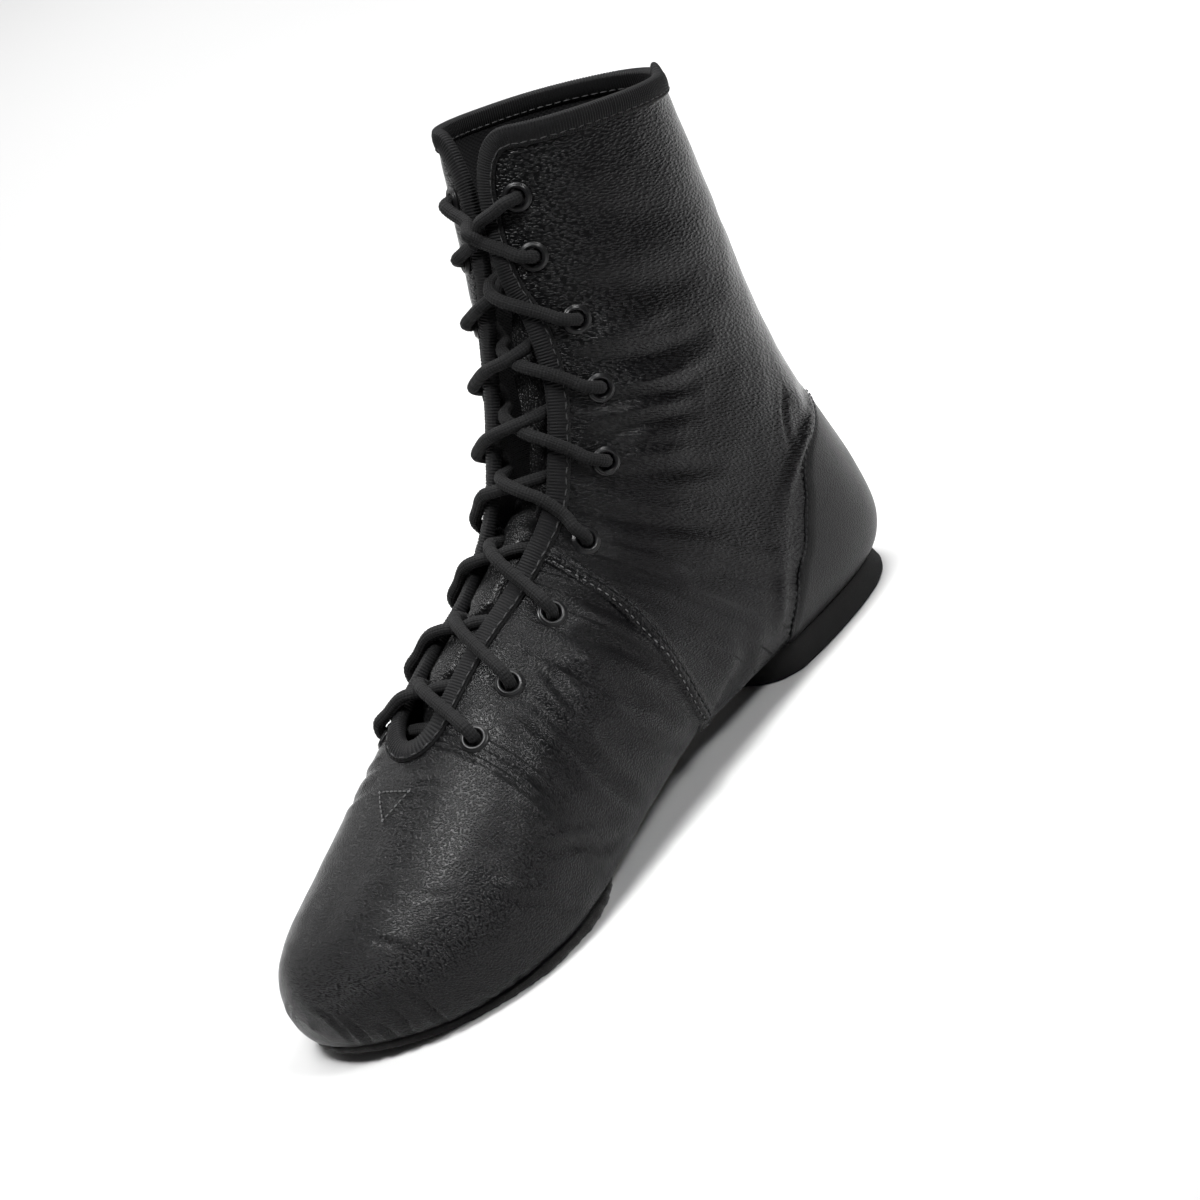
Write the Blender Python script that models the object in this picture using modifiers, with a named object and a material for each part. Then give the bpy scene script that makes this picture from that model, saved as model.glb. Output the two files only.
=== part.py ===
import bpy
import bmesh
import math
from mathutils import Matrix, Vector

# Driving sizes, in millimetres unless the name says otherwise
MM = 0.001
LEATHER_WALL = 1.6
GAP = 0.3
CENTRE_S = 117.0
CENTRE_X = 0.7
SEAT_SOFTNESS = 0.8
SUEDE_THICK = 2.4
INSOLE_THICK = 2.0
TONGUE_THICK = 1.5
TONGUE_BULGE = 7.0
TAPE_THICK = 0.6
TAPE_WIDTH = 6.2
TAPE_INSIDE = 4.0
TAPE_GAP = 0.5
TAPE_INNER_GAP = 0.8
COUNTER_THICK = 0.9
COUNTER_GAP = 0.5
LACE_RADIUS = 2.0
EYELET_BORE = 2.4
EYELET_BARREL = 2.9
EYELET_HOLE = 3.3
EYELET_FLANGE = 4.5
EYELET_PROUD = 0.7
EYELET_SIDES = 8
HEEL_FLARE = 1.6
HEEL_EDGE = 1.0

# Sections of the last from toe tip to collar: s runs forward from the heel end, z up from the floor
SECTION_COLUMNS = (
    "top_s", "top_z", "bottom_s", "bottom_z", "middle_x",
    "lateral", "medial", "belly", "top_round", "bottom_round")
SECTIONS = (
    (251.0, 16.0, 251.0, 16.0, -10.0, 0.0, 0.0, 0.45, 2.0, 2.0),
    (248.5, 26.0, 248.5, 7.0, -10.0, 12.0, 12.0, 0.45, 2.0, 2.4),
    (241.0, 34.5, 241.0, 2.5, -9.0, 24.0, 23.0, 0.42, 2.1, 2.9),
    (228.0, 41.0, 228.0, 0.5, -7.0, 36.0, 32.5, 0.38, 2.1, 3.8),
    (208.0, 49.5, 208.0, 0.0, -5.0, 45.0, 37.0, 0.34, 2.1, 4.6),
    (187.0, 60.0, 184.0, 0.0, -3.0, 47.0, 39.0, 0.32, 2.1, 4.6),
    (167.0, 70.0, 158.0, 1.5, -2.0, 44.5, 37.0, 0.33, 2.1, 3.4),
    (148.0, 78.5, 128.0, 5.5, -1.0, 41.0, 34.0, 0.35, 2.1, 2.9),
    (130.0, 85.0, 96.0, 8.0, 0.0, 37.0, 32.0, 0.37, 2.1, 2.8),
    (115.9, 94.5, 56.0, 7.0, 0.0, 33.0, 31.0, 0.38, 2.1, 4.0),
    (107.4, 102.9, 16.0, 5.0, 0.0, 30.5, 30.0, 0.42, 2.1, 3.8),
    (102.9, 108.8, -4.5, 11.0, 0.0, 30.0, 30.0, 0.46, 2.1, 3.0),
    (97.9, 115.6, -10.5, 30.0, 0.0, 30.0, 30.0, 0.48, 2.1, 2.3),
    (89.3, 127.9, -8.0, 62.0, 0.0, 29.0, 29.0, 0.50, 2.1, 2.1),
    (79.6, 144.3, -7.4, 95.0, 0.0, 28.5, 28.5, 0.50, 2.2, 2.1),
    (67.5, 170.6, -12.2, 134.0, 0.0, 28.0, 27.5, 0.50, 2.5, 2.05),
    (54.8, 200.2, -16.2, 175.0, 0.0, 28.0, 26.0, 0.50, 2.8, 2.0))
COLLAR = float(len(SECTIONS) - 1)

# Bottom line of the last: heel seat, arch, ball and toe spring
LAST_BOTTOM = (
    (-20.0, 8.2), (0.0, 8.3), (30.0, 9.2), (64.0, 10.3), (80.0, 10.7), (96.0, 10.3), (112.0, 9.1), (128.0, 7.4),
    (143.0, 5.4), (158.0, 3.7), (172.0, 2.85), (185.0, 2.7), (222.0, 2.7), (238.0, 4.0), (250.0, 7.0), (258.0, 10.0))

# Throat opening: distance of each facing edge from the top line, at stations up the boot
THROAT_FOOT = 5.5
THROAT_ROUND = 5.95
CORNER_START = 15.56
CORNER_LATERAL = 13.0
CORNER_MEDIAL = 8.0
FACING_LATERAL = (
    (5.4, 6.6), (6.0, 6.8), (6.5, 7.2), (7.0, 7.6), (7.6, 8.2), (8.15, 9.6), (8.7, 11.3), (9.5, 13.0),
    (10.2, 13.6), (11.4, 14.0), (12.3, 14.5), (13.05, 14.6), (13.4, 14.2), (13.8, 13.2), (14.15, 11.6),
    (14.5, 8.4), (14.85, 6.4), (15.3, 5.8), (16.0, 6.0))
FACING_MEDIAL = (
    (5.4, 8.0), (6.0, 10.2), (6.5, 11.4), (7.0, 10.8), (7.6, 9.4), (8.2, 8.0), (8.7, 6.2), (9.4, 4.4),
    (10.2, 3.4), (11.2, 2.8), (12.4, 2.8), (13.3, 3.0), (13.8, 2.4), (14.2, 1.0), (14.6, -0.4),
    (15.0, -0.8), (15.4, 0.2), (15.7, 2.0), (16.0, 4.0))

# Eyelet places: station up the boot and distance from the top line on each side
EYELET_COLUMNS = ("station", "lateral", "medial")
EYELETS = (
    (15.37, 16.0, 11.4),
    (14.79, 16.8, 11.0),
    (14.11, 21.7, 12.8),
    (13.13, 22.9, 14.4),
    (11.75, 22.4, 14.4),
    (9.38, 21.6, 15.8),
    (8.00, 22.8, 20.0),
    (6.74, 23.8, 22.2),
    (5.82, 22.2, 21.2))

# Tongue: station, medial edge, lateral edge, depth at its sides and at its middle
TONGUE_COLUMNS = ("station", "medial_edge", "lateral_edge", "side_depth", "middle_depth")
TONGUE = (
    (4.95, -13.0, 12.0, 3.2, 3.2),
    (5.45, -17.5, 17.0, 6.6, 6.6),
    (5.85, -19.0, 18.5, 8.2, 8.2),
    (6.4, -19.5, 19.0, 8.6, 8.2),
    (7.0, -20.0, 20.0, 8.7, 7.2),
    (8.0, -19.5, 20.5, 8.7, 6.6),
    (9.0, -18.0, 21.0, 8.7, 6.8),
    (9.7, -14.0, 21.5, 8.4, 9.0),
    (10.3, -7.0, 21.5, 8.6, 10.6),
    (11.0, 0.0, 21.5, 8.6, 9.2),
    (12.0, 3.0, 21.0, 8.6, 8.2),
    (13.0, 2.0, 20.0, 8.6, 8.6),
    (13.9, 2.0, 18.0, 8.6, 8.6),
    (14.3, 4.0, 14.0, 8.6, 8.6))

# Plan outlines: s, lateral and medial reach
SOLE_OUTLINE = (
    (147.0, 5.0, 5.0), (149.0, 14.0, 12.0), (153.0, 23.0, 20.0), (160.0, 31.0, 27.0), (170.0, 37.0, 32.5),
    (182.0, 40.0, 36.0), (195.0, 40.0, 38.0), (208.0, 36.0, 38.0), (220.0, 29.0, 36.5), (230.0, 20.5, 33.5),
    (238.0, 11.0, 29.5), (243.5, 2.0, 24.0), (246.5, -5.0, 17.0), (247.5, -9.0, 12.0))
SOLE_OPENING = (
    (158.0, 4.0, 4.0), (161.0, 13.0, 11.0), (168.0, 22.0, 19.0), (180.0, 28.0, 25.0), (195.0, 29.0, 28.0),
    (208.0, 26.0, 28.5), (220.0, 19.0, 27.0), (229.0, 10.0, 24.0), (234.0, 1.0, 19.0), (236.0, -5.0, 13.0))
HEEL_OUTLINE = (
    (-0.8, 4.0), (0.6, 9.5), (4.0, 15.0), (10.0, 20.0), (18.0, 23.2), (30.0, 25.0), (44.0, 25.6),
    (55.0, 25.0), (61.0, 21.5), (65.0, 14.0), (66.6, 5.0))
HEEL_OPENING = (
    (11.0, 3.0), (12.5, 7.5), (17.0, 12.0), (26.0, 14.5), (40.0, 15.5), (50.0, 13.5), (55.0, 8.0), (56.5, 3.0))
INSOLE_OUTLINE = (
    (6.0, 2.5, 2.5), (8.0, 6.0, 6.0), (13.0, 11.0, 11.0), (24.0, 16.0, 15.5), (44.0, 19.0, 17.5),
    (66.0, 19.5, 17.5), (96.0, 16.0, 13.2), (112.0, 15.0, 13.2), (128.0, 16.5, 16.0), (143.0, 19.0, 18.5),
    (158.0, 24.0, 22.5), (170.0, 28.0, 27.0), (184.0, 32.5, 31.0), (196.0, 33.0, 33.5), (208.0, 30.5, 33.5),
    (222.0, 21.5, 30.5), (234.0, 12.0, 26.5), (240.0, 3.5, 20.5), (242.5, -4.0, 15.5))

# Side outline of the heel counter
COUNTER_SIDE = (
    (-25.0, 75.0), (-9.0, 72.0), (2.0, 67.0), (18.0, 58.5), (30.0, 47.0), (41.0, 32.5), (50.0, 19.5), (54.0, 13.8),
    (30.0, 13.2), (-25.0, 13.4))


def clear_scene():
    for item in list(bpy.data.objects):
        bpy.data.objects.remove(item, do_unlink=True)
    for group in list(bpy.data.collections):
        bpy.data.collections.remove(group)


# Smooth value of a table column at a key
def along(table, at, column=1):
    last = len(table) - 1
    if at <= table[0][0]:
        return table[0][column]
    if at >= table[last][0]:
        return table[last][column]
    k = 0
    while table[k + 1][0] < at:
        k += 1
    step = table[k + 1][0] - table[k][0]
    part = (at - table[k][0]) / step

    def pitch(i):
        return (table[i + 1][column] - table[i][column]) / (table[i + 1][0] - table[i][0])

    def slope(i):
        if i == 0:
            return pitch(0)
        if i == last:
            return pitch(last - 1)
        before = pitch(i - 1)
        after = pitch(i)
        if before * after <= 0.0:
            return 0.0
        return 2.0 * before * after / (before + after)

    start = table[k][column]
    end = table[k + 1][column]
    rest = 1.0 - part
    return ((1.0 + 2.0 * part) * rest * rest * start + part * rest * rest * step * slope(k)
            + part * part * (3.0 - 2.0 * part) * end - part * part * rest * step * slope(k + 1))


# Section of the last at a station between the table's rows
def section_at(station):
    last = len(SECTIONS) - 1
    k = min(max(int(station), 0), last - 1)
    part = station - k
    rest = 1.0 - part
    row = {}
    for c, name in enumerate(SECTION_COLUMNS):
        start = SECTIONS[k][c]
        end = SECTIONS[k + 1][c]
        slope_start = (end - SECTIONS[k - 1][c]) / 2.0 if k > 0 else end - start
        slope_end = (SECTIONS[k + 2][c] - start) / 2.0 if k + 2 <= last else end - start
        row[name] = ((1.0 + 2.0 * part) * rest * rest * start + part * rest * rest * slope_start
                     + part * part * (3.0 - 2.0 * part) * end - part * part * rest * slope_end)
    return row


# Point of the outside of the upper: turn is 0 on the top line, positive lateral, 180 below or behind
def bare_skin(station, turn):
    row = section_at(station)
    angle = (turn + 180.0) % 360.0 - 180.0
    up = math.cos(math.radians(angle))
    out = abs(math.sin(math.radians(angle)))
    belly = row["belly"]
    if up >= 0.0:
        power = 2.0 / row["top_round"]
        height = belly + (1.0 - belly) * up ** power
    else:
        power = 2.0 / row["bottom_round"]
        height = belly - belly * (-up) ** power
    reach = row["lateral"] if angle >= 0.0 else -row["medial"]
    x = row["middle_x"] + reach * out ** power
    s = row["bottom_s"] + (row["top_s"] - row["bottom_s"]) * height
    z = row["bottom_z"] + (row["top_z"] - row["bottom_z"]) * height
    seat = along(LAST_BOTTOM, s)
    rise = (z - seat) / SEAT_SOFTNESS
    if rise < 30.0:
        z = seat + SEAT_SOFTNESS * math.log(1.0 + math.exp(rise))
    return Vector((x - CENTRE_X, CENTRE_S - s, z))


def skin_axes(station, turn):
    low = max(station - 0.03, 0.02)
    high = station + 0.03
    up = (bare_skin(high, turn) - bare_skin(low, turn)) / (high - low)
    around = (bare_skin(station, turn + 0.8) - bare_skin(station, turn - 0.8)) / 1.6
    normal = around.cross(up).normalized()
    return up, around, normal


def skin(station, turn, lift=0.0):
    station = max(station, 0.02)
    return bare_skin(station, turn) + skin_axes(station, turn)[2] * lift


# Turn at which the outside lies a given distance to one side of the top line
def turn_at(station, side_x):
    row = section_at(station)
    reach = row["lateral"] if side_x >= 0.0 else row["medial"]
    ratio = min(abs(side_x) / max(reach, 0.01), 1.0)
    return math.copysign(math.degrees(math.asin(ratio ** (row["top_round"] / 2.0))), side_x)


# Facing edge of the throat, with its rounded foot and rounded top corner
def facing(station, table):
    if station <= THROAT_FOOT:
        return 0.0
    edge = along(table, station)
    if station < THROAT_ROUND:
        q = (THROAT_ROUND - station) / (THROAT_ROUND - THROAT_FOOT)
        edge *= math.sqrt(max(1.0 - q * q, 0.0))
    if station > CORNER_START:
        q = min((station - CORNER_START) / (COLLAR - CORNER_START), 1.0)
        radius = CORNER_LATERAL if table is FACING_LATERAL else CORNER_MEDIAL
        edge += radius * (1.0 - math.sqrt(1.0 - q * q))
    return edge


def throat_turns(station):
    lateral = turn_at(station, facing(station, FACING_LATERAL))
    medial = -turn_at(station, -facing(station, FACING_MEDIAL))
    return lateral, medial


def material(name, colour, roughness, metallic=0.0):
    made = bpy.data.materials.new(name)
    made.use_nodes = True
    shader = made.node_tree.nodes["Principled BSDF"]
    shader.inputs["Base Color"].default_value = (colour[0], colour[1], colour[2], 1.0)
    shader.inputs["Roughness"].default_value = roughness
    shader.inputs["Metallic"].default_value = metallic
    return made


def finish(bm, name, group, coat, merge=0.02):
    bmesh.ops.remove_doubles(bm, verts=bm.verts, dist=merge)
    bmesh.ops.dissolve_degenerate(bm, dist=0.001, edges=bm.edges)
    bmesh.ops.recalc_face_normals(bm, faces=bm.faces)
    bmesh.ops.scale(bm, vec=(MM, MM, MM), verts=bm.verts)
    mesh = bpy.data.meshes.new(name)
    bm.to_mesh(mesh)
    bm.free()
    made = bpy.data.objects.new(name, mesh)
    if coat is not None:
        mesh.materials.append(coat)
    group.objects.link(made)
    return made


# Grid of cells sent through a mapping of two parts from 0 to 1
def mapped_grid(bm, columns, rows, place):
    made = bmesh.ops.create_grid(bm, x_segments=columns, y_segments=rows, size=0.5)
    for vert in made["verts"]:
        vert.co = place(vert.co.x + 0.5, vert.co.y + 0.5)


def bake(made):
    graph = bpy.context.evaluated_depsgraph_get()
    mesh = bpy.data.meshes.new_from_object(made.evaluated_get(graph))
    made.modifiers.clear()
    old = made.data
    made.data = mesh
    bpy.data.meshes.remove(old)
    mesh.name = made.name


def thicken(made, thick, offset=-1.0):
    shell = made.modifiers.new("wall", "SOLIDIFY")
    shell.thickness = thick * MM
    shell.offset = offset
    shell.use_even_offset = True
    shell.use_quality_normals = True
    bake(made)


def carve(made, cutter, operation="DIFFERENCE"):
    cut = made.modifiers.new("cut", "BOOLEAN")
    cut.operation = operation
    cut.solver = "EXACT"
    cut.object = cutter
    bake(made)


def as_cutter(made):
    made.hide_render = True
    made.display_type = "WIRE"


# Closed prism over a plan outline of reaches to both sides
def plan_prism(name, outline, low, high, group):
    loop = [(lateral, s) for s, lateral, medial in outline]
    loop += [(-medial, s) for s, lateral, medial in reversed(outline)]
    bm = bmesh.new()
    ring = [bm.verts.new((x - CENTRE_X, CENTRE_S - s, low)) for x, s in loop]
    face = bm.faces.new(ring)
    grown = bmesh.ops.extrude_face_region(bm, geom=[face])
    raised = [g for g in grown["geom"] if isinstance(g, bmesh.types.BMVert)]
    bmesh.ops.translate(bm, vec=(0.0, 0.0, high - low), verts=raised)
    made = finish(bm, name, group, None)
    as_cutter(made)
    return made


def smooth_outline(table, count):
    first = table[0][0]
    last = table[-1][0]
    rows = []
    for i in range(count + 1):
        s = first + (last - first) * 0.5 * (1.0 - math.cos(math.pi * i / count))
        rows.append((s,) + tuple(along(table, s, c) for c in range(1, len(table[0]))))
    return rows


STATIONS = (
    0.0, 0.3, 0.65, 1.0, 1.5, 2.0, 2.6, 3.3, 4.0, 4.75, 5.5, 5.54, 5.64, 5.78, 5.95, 6.3, 6.8, 7.3, 7.8,
    8.3, 8.8, 9.3, 9.85, 10.4, 11.0, 11.6, 12.2, 12.8, 13.4, 14.0, 14.6, 15.1, 15.56, 15.8, 15.94, 16.0)
AROUND = 24


def part_of(index, count):
    return int(round(index * count))


# Turn of one of the grid lines that run from facing edge to facing edge
def grid_turn(station, line):
    lateral, medial = throat_turns(station)
    return lateral + (360.0 - medial - lateral) * line / AROUND


def build_upper(group, cutters, coat):
    bm = bmesh.new()
    steps = len(STATIONS) - 1

    def place(a, b):
        station = STATIONS[part_of(a, steps)]
        return bare_skin(station, grid_turn(station, part_of(b, AROUND)))

    mapped_grid(bm, steps, AROUND, place)
    upper = finish(bm, "upper", group, coat)
    thicken(upper, LEATHER_WALL)
    carve(upper, plan_prism("cutter_forefoot", smooth_outline(SOLE_OPENING, 14), -4.0, 7.5, cutters))
    both = [(s, half, half) for s, half in HEEL_OPENING]
    carve(upper, plan_prism("cutter_heel_seat", smooth_outline(both, 12), -4.0, 13.5, cutters))
    bm = bmesh.new()
    for row in EYELETS:
        for side in (row[1], -row[2]):
            turn = turn_at(row[0], side)
            frame = eyelet_frame(row[0], turn)
            bmesh.ops.create_cone(
                bm, cap_ends=True, segments=EYELET_SIDES, radius1=EYELET_HOLE, radius2=EYELET_HOLE,
                depth=9.0, matrix=frame)
    punch = finish(bm, "cutter_eyelets", cutters, None)
    as_cutter(punch)
    carve(upper, punch)
    return upper


def eyelet_frame(station, turn):
    up, around, normal = skin_axes(station, turn)
    side = around.normalized()
    rise = normal.cross(side)
    turned = Matrix((side, rise, normal)).transposed().to_4x4()
    return Matrix.Translation(bare_skin(station, turn)) @ turned


def build_eyelet(name, station, turn, group, coat):
    base = 0.45
    profile = (
        (EYELET_BORE, base + EYELET_PROUD), (EYELET_FLANGE - 0.5, base + EYELET_PROUD),
        (EYELET_FLANGE, base), (EYELET_BARREL, base),
        (EYELET_BARREL, -LEATHER_WALL - 0.2), (EYELET_BORE, -LEATHER_WALL - 0.2))
    bm = bmesh.new()
    frame = eyelet_frame(station, turn)

    def place(a, b):
        radius, height = profile[part_of(b, len(profile)) % len(profile)]
        angle = 2.0 * math.pi * a
        return frame @ Vector((radius * math.cos(angle), radius * math.sin(angle), height))

    mapped_grid(bm, EYELET_SIDES, len(profile), place)
    return finish(bm, name, group, coat)


# Sheet over a plan outline, its underside a given height over the bottom line of the last
def plan_sheet(name, outline, count, across, height, thick, group, coat):
    rows = smooth_outline(outline, count)
    bm = bmesh.new()

    def place(a, b):
        s, lateral, medial = rows[part_of(a, count)]
        x = -medial + (lateral + medial) * b
        return Vector((x - CENTRE_X, CENTRE_S - s, along(LAST_BOTTOM, s) + height))

    mapped_grid(bm, count, across, place)
    bmesh.ops.recalc_face_normals(bm, faces=bm.faces)
    if sum(f.normal.z for f in bm.faces) < 0.0:
        bmesh.ops.reverse_faces(bm, faces=bm.faces)
    lower = bmesh.ops.extrude_face_region(bm, geom=bm.faces[:])
    raised = [g for g in lower["geom"] if isinstance(g, bmesh.types.BMVert)]
    bmesh.ops.translate(bm, vec=(0.0, 0.0, thick), verts=raised)
    return finish(bm, name, group, coat)


def build_heel(group, coat):
    rows = smooth_outline(HEEL_OUTLINE, 18)
    loop = [(half, s) for s, half in rows] + [(-half, s) for s, half in reversed(rows)]
    centre_s = 33.0
    levels = ((0.0, HEEL_FLARE - HEEL_EDGE), (HEEL_EDGE, HEEL_FLARE), (4.5, HEEL_FLARE * 0.45), (None, 0.0))
    bm = bmesh.new()
    rings = []
    for level, grow in levels:
        ring = []
        for x, s in loop:
            away = Vector((x, s - centre_s, 0.0))
            flared = away + away.normalized() * grow
            place_s = centre_s + flared.y
            z = along(LAST_BOTTOM, place_s) - GAP if level is None else level
            ring.append(bm.verts.new((flared.x - CENTRE_X, CENTRE_S - place_s, z)))
        rings.append(ring)
    count = len(loop)
    for low, high in zip(rings, rings[1:]):
        for k in range(count):
            bm.faces.new((low[k], low[(k + 1) % count], high[(k + 1) % count], high[k]))
    bm.faces.new(rings[0])
    bm.faces.new(rings[-1])
    return finish(bm, "heel", group, coat)


def build_tongue(group, coat):
    steps = 17
    across = 7
    first = TONGUE[0][0]
    last = TONGUE[-1][0]
    bm = bmesh.new()

    def place(a, b):
        station = first + (last - first) * a
        medial_edge = along(TONGUE, station, 1)
        lateral_edge = along(TONGUE, station, 2)
        side = along(TONGUE, station, 3)
        middle = along(TONGUE, station, 4)
        x = medial_edge + (lateral_edge - medial_edge) * b
        heart = (facing(station, FACING_LATERAL) - facing(station, FACING_MEDIAL)) * 0.5
        round_in = max(1.0 - ((x - heart) / TONGUE_BULGE) ** 2, 0.0)
        depth = side + (middle - side) * round_in * round_in
        return skin(station, turn_at(station, x), -depth)

    mapped_grid(bm, steps, across, place)
    tongue = finish(bm, "tongue", group, coat)
    thicken(tongue, TONGUE_THICK, -1.0)
    return tongue


# Walk over the skin from an edge point, in a direction, for a distance
def walk(station, turn, direction, distance):
    pieces = 3
    for _ in range(pieces):
        up, around, normal = skin_axes(station, turn)
        a = up.dot(up)
        b = up.dot(around)
        c = around.dot(around)
        p = up.dot(direction)
        q = around.dot(direction)
        scale = a * c - b * b
        station += (p * c - q * b) / scale * distance / pieces
        turn += (q * a - p * b) / scale * distance / pieces
    return station, turn


def binding_path():
    path = []
    lateral, medial = throat_turns(COLLAR)
    for i in range(AROUND):
        path.append((COLLAR, lateral + (360.0 - medial - lateral) * i / AROUND))
    edge = [u for u in STATIONS if u > THROAT_FOOT]
    for u in reversed(edge):
        path.append((u, -throat_turns(u)[1]))
    path.append((THROAT_FOOT, 0.0))
    for u in edge[:-1]:
        path.append((u, throat_turns(u)[0]))
    return path


def build_binding(group, coat):
    path = binding_path()
    count = len(path)
    points = [bare_skin(u, t) for u, t in path]
    outside = TAPE_GAP + TAPE_THICK
    inside = -LEATHER_WALL - TAPE_INNER_GAP
    rings = []
    for k, (u, t) in enumerate(path):
        ahead = points[(k + 1) % count] - points[k]
        behind = points[k] - points[k - 1]
        tangent = (ahead.normalized() + behind.normalized()).normalized()
        normal = skin_axes(u, t)[2]
        inward = tangent.cross(normal).normalized()
        over = points[k] - inward * (TAPE_GAP + TAPE_THICK)
        clear = points[k] - inward * TAPE_GAP
        full = walk(u, t, inward, TAPE_WIDTH)
        inner = walk(u, t, inward, TAPE_INSIDE)
        rings.append((
            skin(full[0], full[1], outside), over + normal * outside * 0.7,
            over + normal * (inside - TAPE_THICK * 0.4), skin(inner[0], inner[1], inside - TAPE_THICK),
            skin(inner[0], inner[1], inside), clear + normal * inside, clear + normal * TAPE_GAP,
            skin(full[0], full[1], TAPE_GAP)))
    bm = bmesh.new()
    wide = len(rings[0])

    def place(a, b):
        return rings[part_of(a, count) % count][part_of(b, wide) % wide]

    mapped_grid(bm, count, wide, place)
    return finish(bm, "edge_binding", group, coat)


def build_counter(group, cutters, coat):
    rows = [u for u in STATIONS if 8.0 < u < 14.0]
    first = 5
    last = AROUND - 5
    bm = bmesh.new()

    def place(a, b):
        station = rows[part_of(a, len(rows) - 1)]
        turn = grid_turn(station, first + part_of(b, last - first))
        return skin(station, turn, COUNTER_GAP + COUNTER_THICK)

    mapped_grid(bm, len(rows) - 1, last - first, place)
    counter = finish(bm, "heel_counter", group, coat)
    thicken(counter, COUNTER_THICK)
    bm = bmesh.new()
    ring = [bm.verts.new((-60.0, CENTRE_S - s, z)) for s, z in COUNTER_SIDE]
    face = bm.faces.new(ring)
    grown = bmesh.ops.extrude_face_region(bm, geom=[face])
    moved = [g for g in grown["geom"] if isinstance(g, bmesh.types.BMVert)]
    bmesh.ops.translate(bm, vec=(120.0, 0.0, 0.0), verts=moved)
    side = finish(bm, "cutter_counter", cutters, None)
    as_cutter(side)
    carve(counter, side, "INTERSECT")
    return counter


# Round cord through a list of points
def cord(name, points, group, coat):
    curve = bpy.data.curves.new(name, "CURVE")
    curve.dimensions = "3D"
    curve.bevel_depth = LACE_RADIUS * MM
    curve.bevel_resolution = 1
    curve.use_fill_caps = True
    line = curve.splines.new("POLY")
    line.points.add(len(points) - 1)
    for k, point in enumerate(points):
        line.points[k].co = (point.x * MM, point.y * MM, point.z * MM, 1.0)
    holder = bpy.data.objects.new(name, curve)
    group.objects.link(holder)
    graph = bpy.context.evaluated_depsgraph_get()
    mesh = bpy.data.meshes.new_from_object(holder.evaluated_get(graph))
    bpy.data.objects.remove(holder, do_unlink=True)
    bm = bmesh.new()
    bm.from_mesh(mesh)
    bmesh.ops.scale(bm, vec=(1.0 / MM, 1.0 / MM, 1.0 / MM), verts=bm.verts)
    bpy.data.meshes.remove(mesh)
    return finish(bm, name, group, coat)


# Points of a lace leg: out of one eyelet, over its own facing, across, and under or over the other facing
def leg_points(start, end, end_over):
    over = TAPE_GAP + TAPE_THICK + GAP + LACE_RADIUS + 0.3
    under = -LEATHER_WALL - TAPE_INNER_GAP - TAPE_THICK - GAP - LACE_RADIUS - 0.1
    from_table = FACING_LATERAL if start[1] > 0.0 else FACING_MEDIAL
    to_table = FACING_MEDIAL if start[1] > 0.0 else FACING_LATERAL
    from_sign = 1.0 if start[1] > 0.0 else -1.0

    def spot(part, x, lift):
        station = start[0] + (end[0] - start[0]) * part
        return skin(station, turn_at(station, x), lift)

    def mid_x(part):
        station = start[0] + (end[0] - start[0]) * part
        return from_sign * (facing(station, from_table) - facing(station, to_table)) * 0.5

    first_edge = from_sign * (facing(start[0], from_table) - 0.6)
    last_edge = -from_sign * (facing(end[0], to_table) + 0.5)
    centre = mid_x(0.5)
    points = [
        spot(0.0, start[1], over + 0.5),
        spot(0.10, start[1] * 0.55 + first_edge * 0.45, over + 0.2),
        spot(0.24, first_edge, over),
        spot(0.38, first_edge * 0.45 + centre * 0.55, over if end_over else over * 0.62),
        spot(0.5, centre, over if end_over else 0.2)]
    if end_over:
        points += [
            spot(0.62, last_edge * 0.45 + centre * 0.55, over),
            spot(0.76, last_edge, over),
            spot(0.90, end[1] * 0.55 + last_edge * 0.45, over + 0.2),
            spot(1.0, end[1], over + 0.5)]
    else:
        points += [
            spot(0.60, last_edge * 0.16 + centre * 0.84, under * 0.60),
            spot(0.70, last_edge * 0.62 + centre * 0.38, under),
            spot(0.95, last_edge * 0.25 + end[1] * 0.75, under)]
    return points


def build_laces(group, cutters, coat):
    for k in range(8):
        low = EYELETS[k + 1]
        high = EYELETS[k]
        name = "lace_cross_%d" % (k + 1)
        over_both = k == 0
        one = cord(name, leg_points((low[0], low[1]), (high[0], -high[2]), over_both), group, coat)
        two = cord("leg_%d" % (k + 1), leg_points((low[0], -low[2]), (high[0], high[1]), over_both), cutters, coat)
        as_cutter(two)
        carve(one, two, "UNION")
    low = EYELETS[8]
    under = -LEATHER_WALL - TAPE_INNER_GAP - TAPE_THICK - GAP - LACE_RADIUS - 0.1
    reach = 7
    points = []
    for i in range(reach):
        part = i / (reach - 1.0)
        x = (low[1] - 5.0) * (1.0 - part) - (low[2] - 5.0) * part
        points.append(skin(low[0], turn_at(low[0], x), under))
    cord("lace_bar", points, group, coat)


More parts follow.
